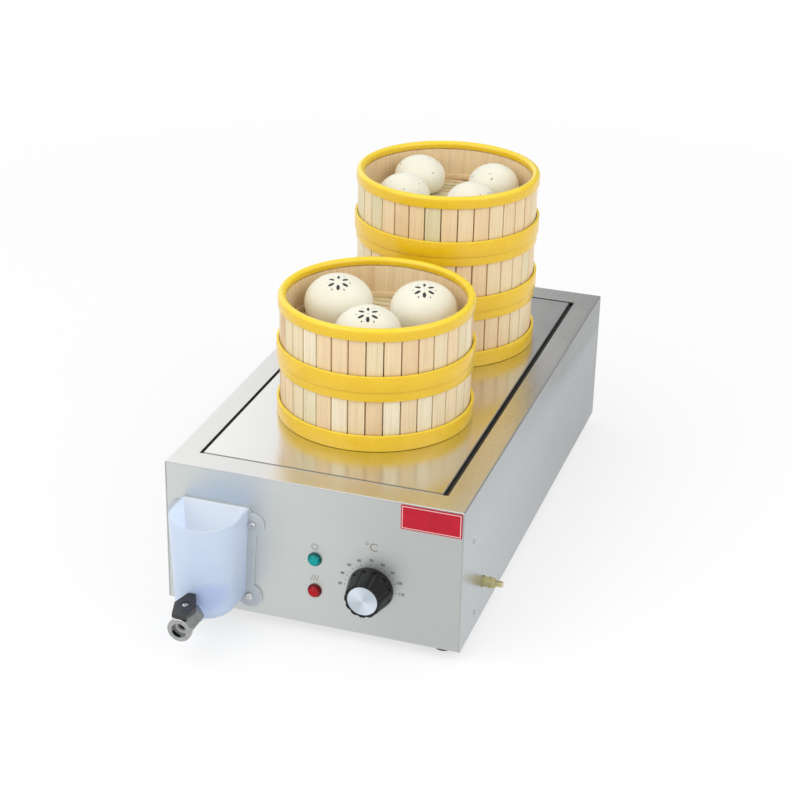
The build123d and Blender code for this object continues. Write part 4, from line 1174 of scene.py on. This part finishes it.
class STEAMER_OT_buns(bpy.types.Operator):
    """Make the steamed buns with their sesame and herbs"""

    bl_idname = "steamer.buns"
    bl_label = "Buns"

    RANDOM_SEED = 21
    BLOSSOM_LEAN = (24, -72)
    PETAL_COUNT = 6
    PETALS = ((15.5, 0.0, (7.0, 3.7, 0.7)), (23, 0.5, (2.4, 1.4, 0.6)))
    BLOSSOM_MIDDLE = (2.6, 2.6, 0.7)
    FLECK_COUNT, FLECK_THICKNESS = 15, 0.0006

    def dough(self, node, generator):
        """A bun that swells from a flat foot, a little uneven all round."""
        low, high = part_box(node)
        centre = centred(node, low.z)
        radius, height = ring_size(node)
        waist, foot = 0.4 * height, 0.62 * radius
        lower = [
            (foot + (radius - foot) * math.sin(a), waist - waist * math.cos(a))
            for a in (math.pi / 2 * step / 8 for step in range(9))
        ]
        upper = [
            (radius * math.cos(a), waist + (height - waist) * math.sin(a))
            for a in (math.pi / 2 * step / 16 for step in range(1, 16))
        ]
        obj = lathe([*lower, *upper, (0, height)], 72, centre, cap=True)
        swell = [(generator.random() * TURN, generator.uniform(0.002, 0.007), count) for count in (2, 3, 5)]
        for vertex in obj.data.vertices:
            out = vertex.co - centre
            turn = math.atan2(out.y, out.x)
            share = 1 - sum(size * (1 + math.sin(count * turn + phase)) for phase, size, count in swell)
            vertex.co.x = centre.x + out.x * share
            vertex.co.y = centre.y + out.y * share
            vertex.co.z = min(vertex.co.z, high.z)
        smooth(obj, 80)
        stand_for(obj, node, node.replace("_bun_", "_dough_"))
        return centre, radius * MM, height * MM, waist * MM

    def seed(self, shape, out, size, spin=0.0, away=None):
        """A flattened seed in the dough's skin, turned by spin or with its length pointing away."""
        centre, radius, height, waist = shape
        rise = height - waist
        skin = out / math.sqrt((out.x ** 2 + out.y ** 2) / radius ** 2 + out.z ** 2 / rise ** 2)
        normal = Vector((skin.x / radius ** 2, skin.y / radius ** 2, skin.z / rise ** 2)).normalized()
        if away is None:
            sides, sink = 12, 0.985
            turn = normal.to_track_quat("Z", "Y").to_matrix() @ Matrix.Rotation(spin, 3, "Z")
        else:
            sides, sink = 16, 0.99
            along = (away - normal * away.dot(normal)).normalized()
            turn = Matrix((along, normal.cross(along), normal)).transposed()
        deselect()
        bpy.ops.mesh.primitive_uv_sphere_add(segments=sides, ring_count=8, radius=0.5)
        seed = bpy.context.object
        seed.scale = size
        settle(seed)
        seed.matrix_world = Matrix.Translation(centre + Vector((0, 0, waist)) + skin * sink) @ turn.to_4x4()
        return settle(seed)

    def blossom(self, shape):
        """Six broad petals and six small ones round a middle seed."""
        lean, turn = (math.radians(angle) for angle in self.BLOSSOM_LEAN)
        axis = Euler((0, 0, turn)).to_matrix() @ Euler((0, lean, 0)).to_matrix()
        pieces = []
        for distance, offset, size in self.PETALS:
            for step in range(self.PETAL_COUNT):
                around = TURN * (step + offset) / self.PETAL_COUNT
                local = direction(math.radians(distance), around)
                away = (axis @ Vector((local.x, local.y, 0))).normalized()
                pieces.append(self.seed(shape, axis @ local, Vector(size) * MM, away=away))
        pieces.append(self.seed(shape, direction(lean, turn), Vector(self.BLOSSOM_MIDDLE) * MM))
        return pieces

    def herbs(self, shape, length, generator):
        """Flecks strewn over the top of a bun."""
        pieces = []
        for _ in range(self.FLECK_COUNT):
            tilt = math.radians(generator.uniform(12, 68))
            out = direction(tilt, generator.uniform(0, TURN))
            spin = generator.uniform(0, math.pi)
            pieces.append(self.seed(shape, out, (length, length * 0.6, self.FLECK_THICKNESS), spin))
        return pieces

    def execute(self, context):
        settings = context.scene.steamer_bun
        generator = random.Random(self.RANDOM_SEED)
        for node in BUNS:
            shape = self.dough(node, generator)
            if node.startswith("front"):
                kind, pieces = "sesame", self.blossom(shape)
            else:
                kind, pieces = "herb", self.herbs(shape, settings.fleck_length, generator)
            made = smooth(join(pieces), 60)
            own(made, node.replace("_bun_", f"_{kind}_"), BODY_OF[node], kind)
        return {"FINISHED"}


class STEAMER_PT_panel(bpy.types.Panel):
    """Lists the steamer's settings and steps"""

    bl_idname = "STEAMER_PT_panel"
    bl_label = "Bun Steamer"
    bl_space_type = "VIEW_3D"
    bl_region_type = "UI"
    bl_category = "Bun Steamer"

    def draw(self, context):
        for step in STEPS:
            self.layout.operator(step.bl_idname)
        for name, group in SETTINGS.items():
            box = self.layout.box()
            box.label(text=group.__doc__)
            for key in group.__annotations__:
                box.prop(getattr(context.scene, name), key)


SETTINGS = {
    "steamer_steel": SteelSettings,
    "steamer_control": ControlSettings,
    "steamer_tier": TierSettings,
    "steamer_bun": BunSettings,
    "steamer_stage": StageSettings,
}
STEPS = (
    STEAMER_OT_stage,
    STEAMER_OT_finishes,
    STEAMER_OT_casing,
    STEAMER_OT_controls,
    STEAMER_OT_water_box,
    STEAMER_OT_tiers,
    STEAMER_OT_buns,
)
CLASSES = (*SETTINGS.values(), *STEPS, STEAMER_PT_panel)


def register():
    for kind in CLASSES:
        bpy.utils.register_class(kind)
    for name, group in SETTINGS.items():
        setattr(bpy.types.Scene, name, PointerProperty(type=group))


def unregister():
    for name in SETTINGS:
        delattr(bpy.types.Scene, name)
    for kind in reversed(CLASSES):
        bpy.utils.unregister_class(kind)


def main():
    register()
    for step in STEPS:
        group, name = step.bl_idname.split(".")
        getattr(getattr(bpy.ops, group), name)()


if __name__ == "__main__":
    main()
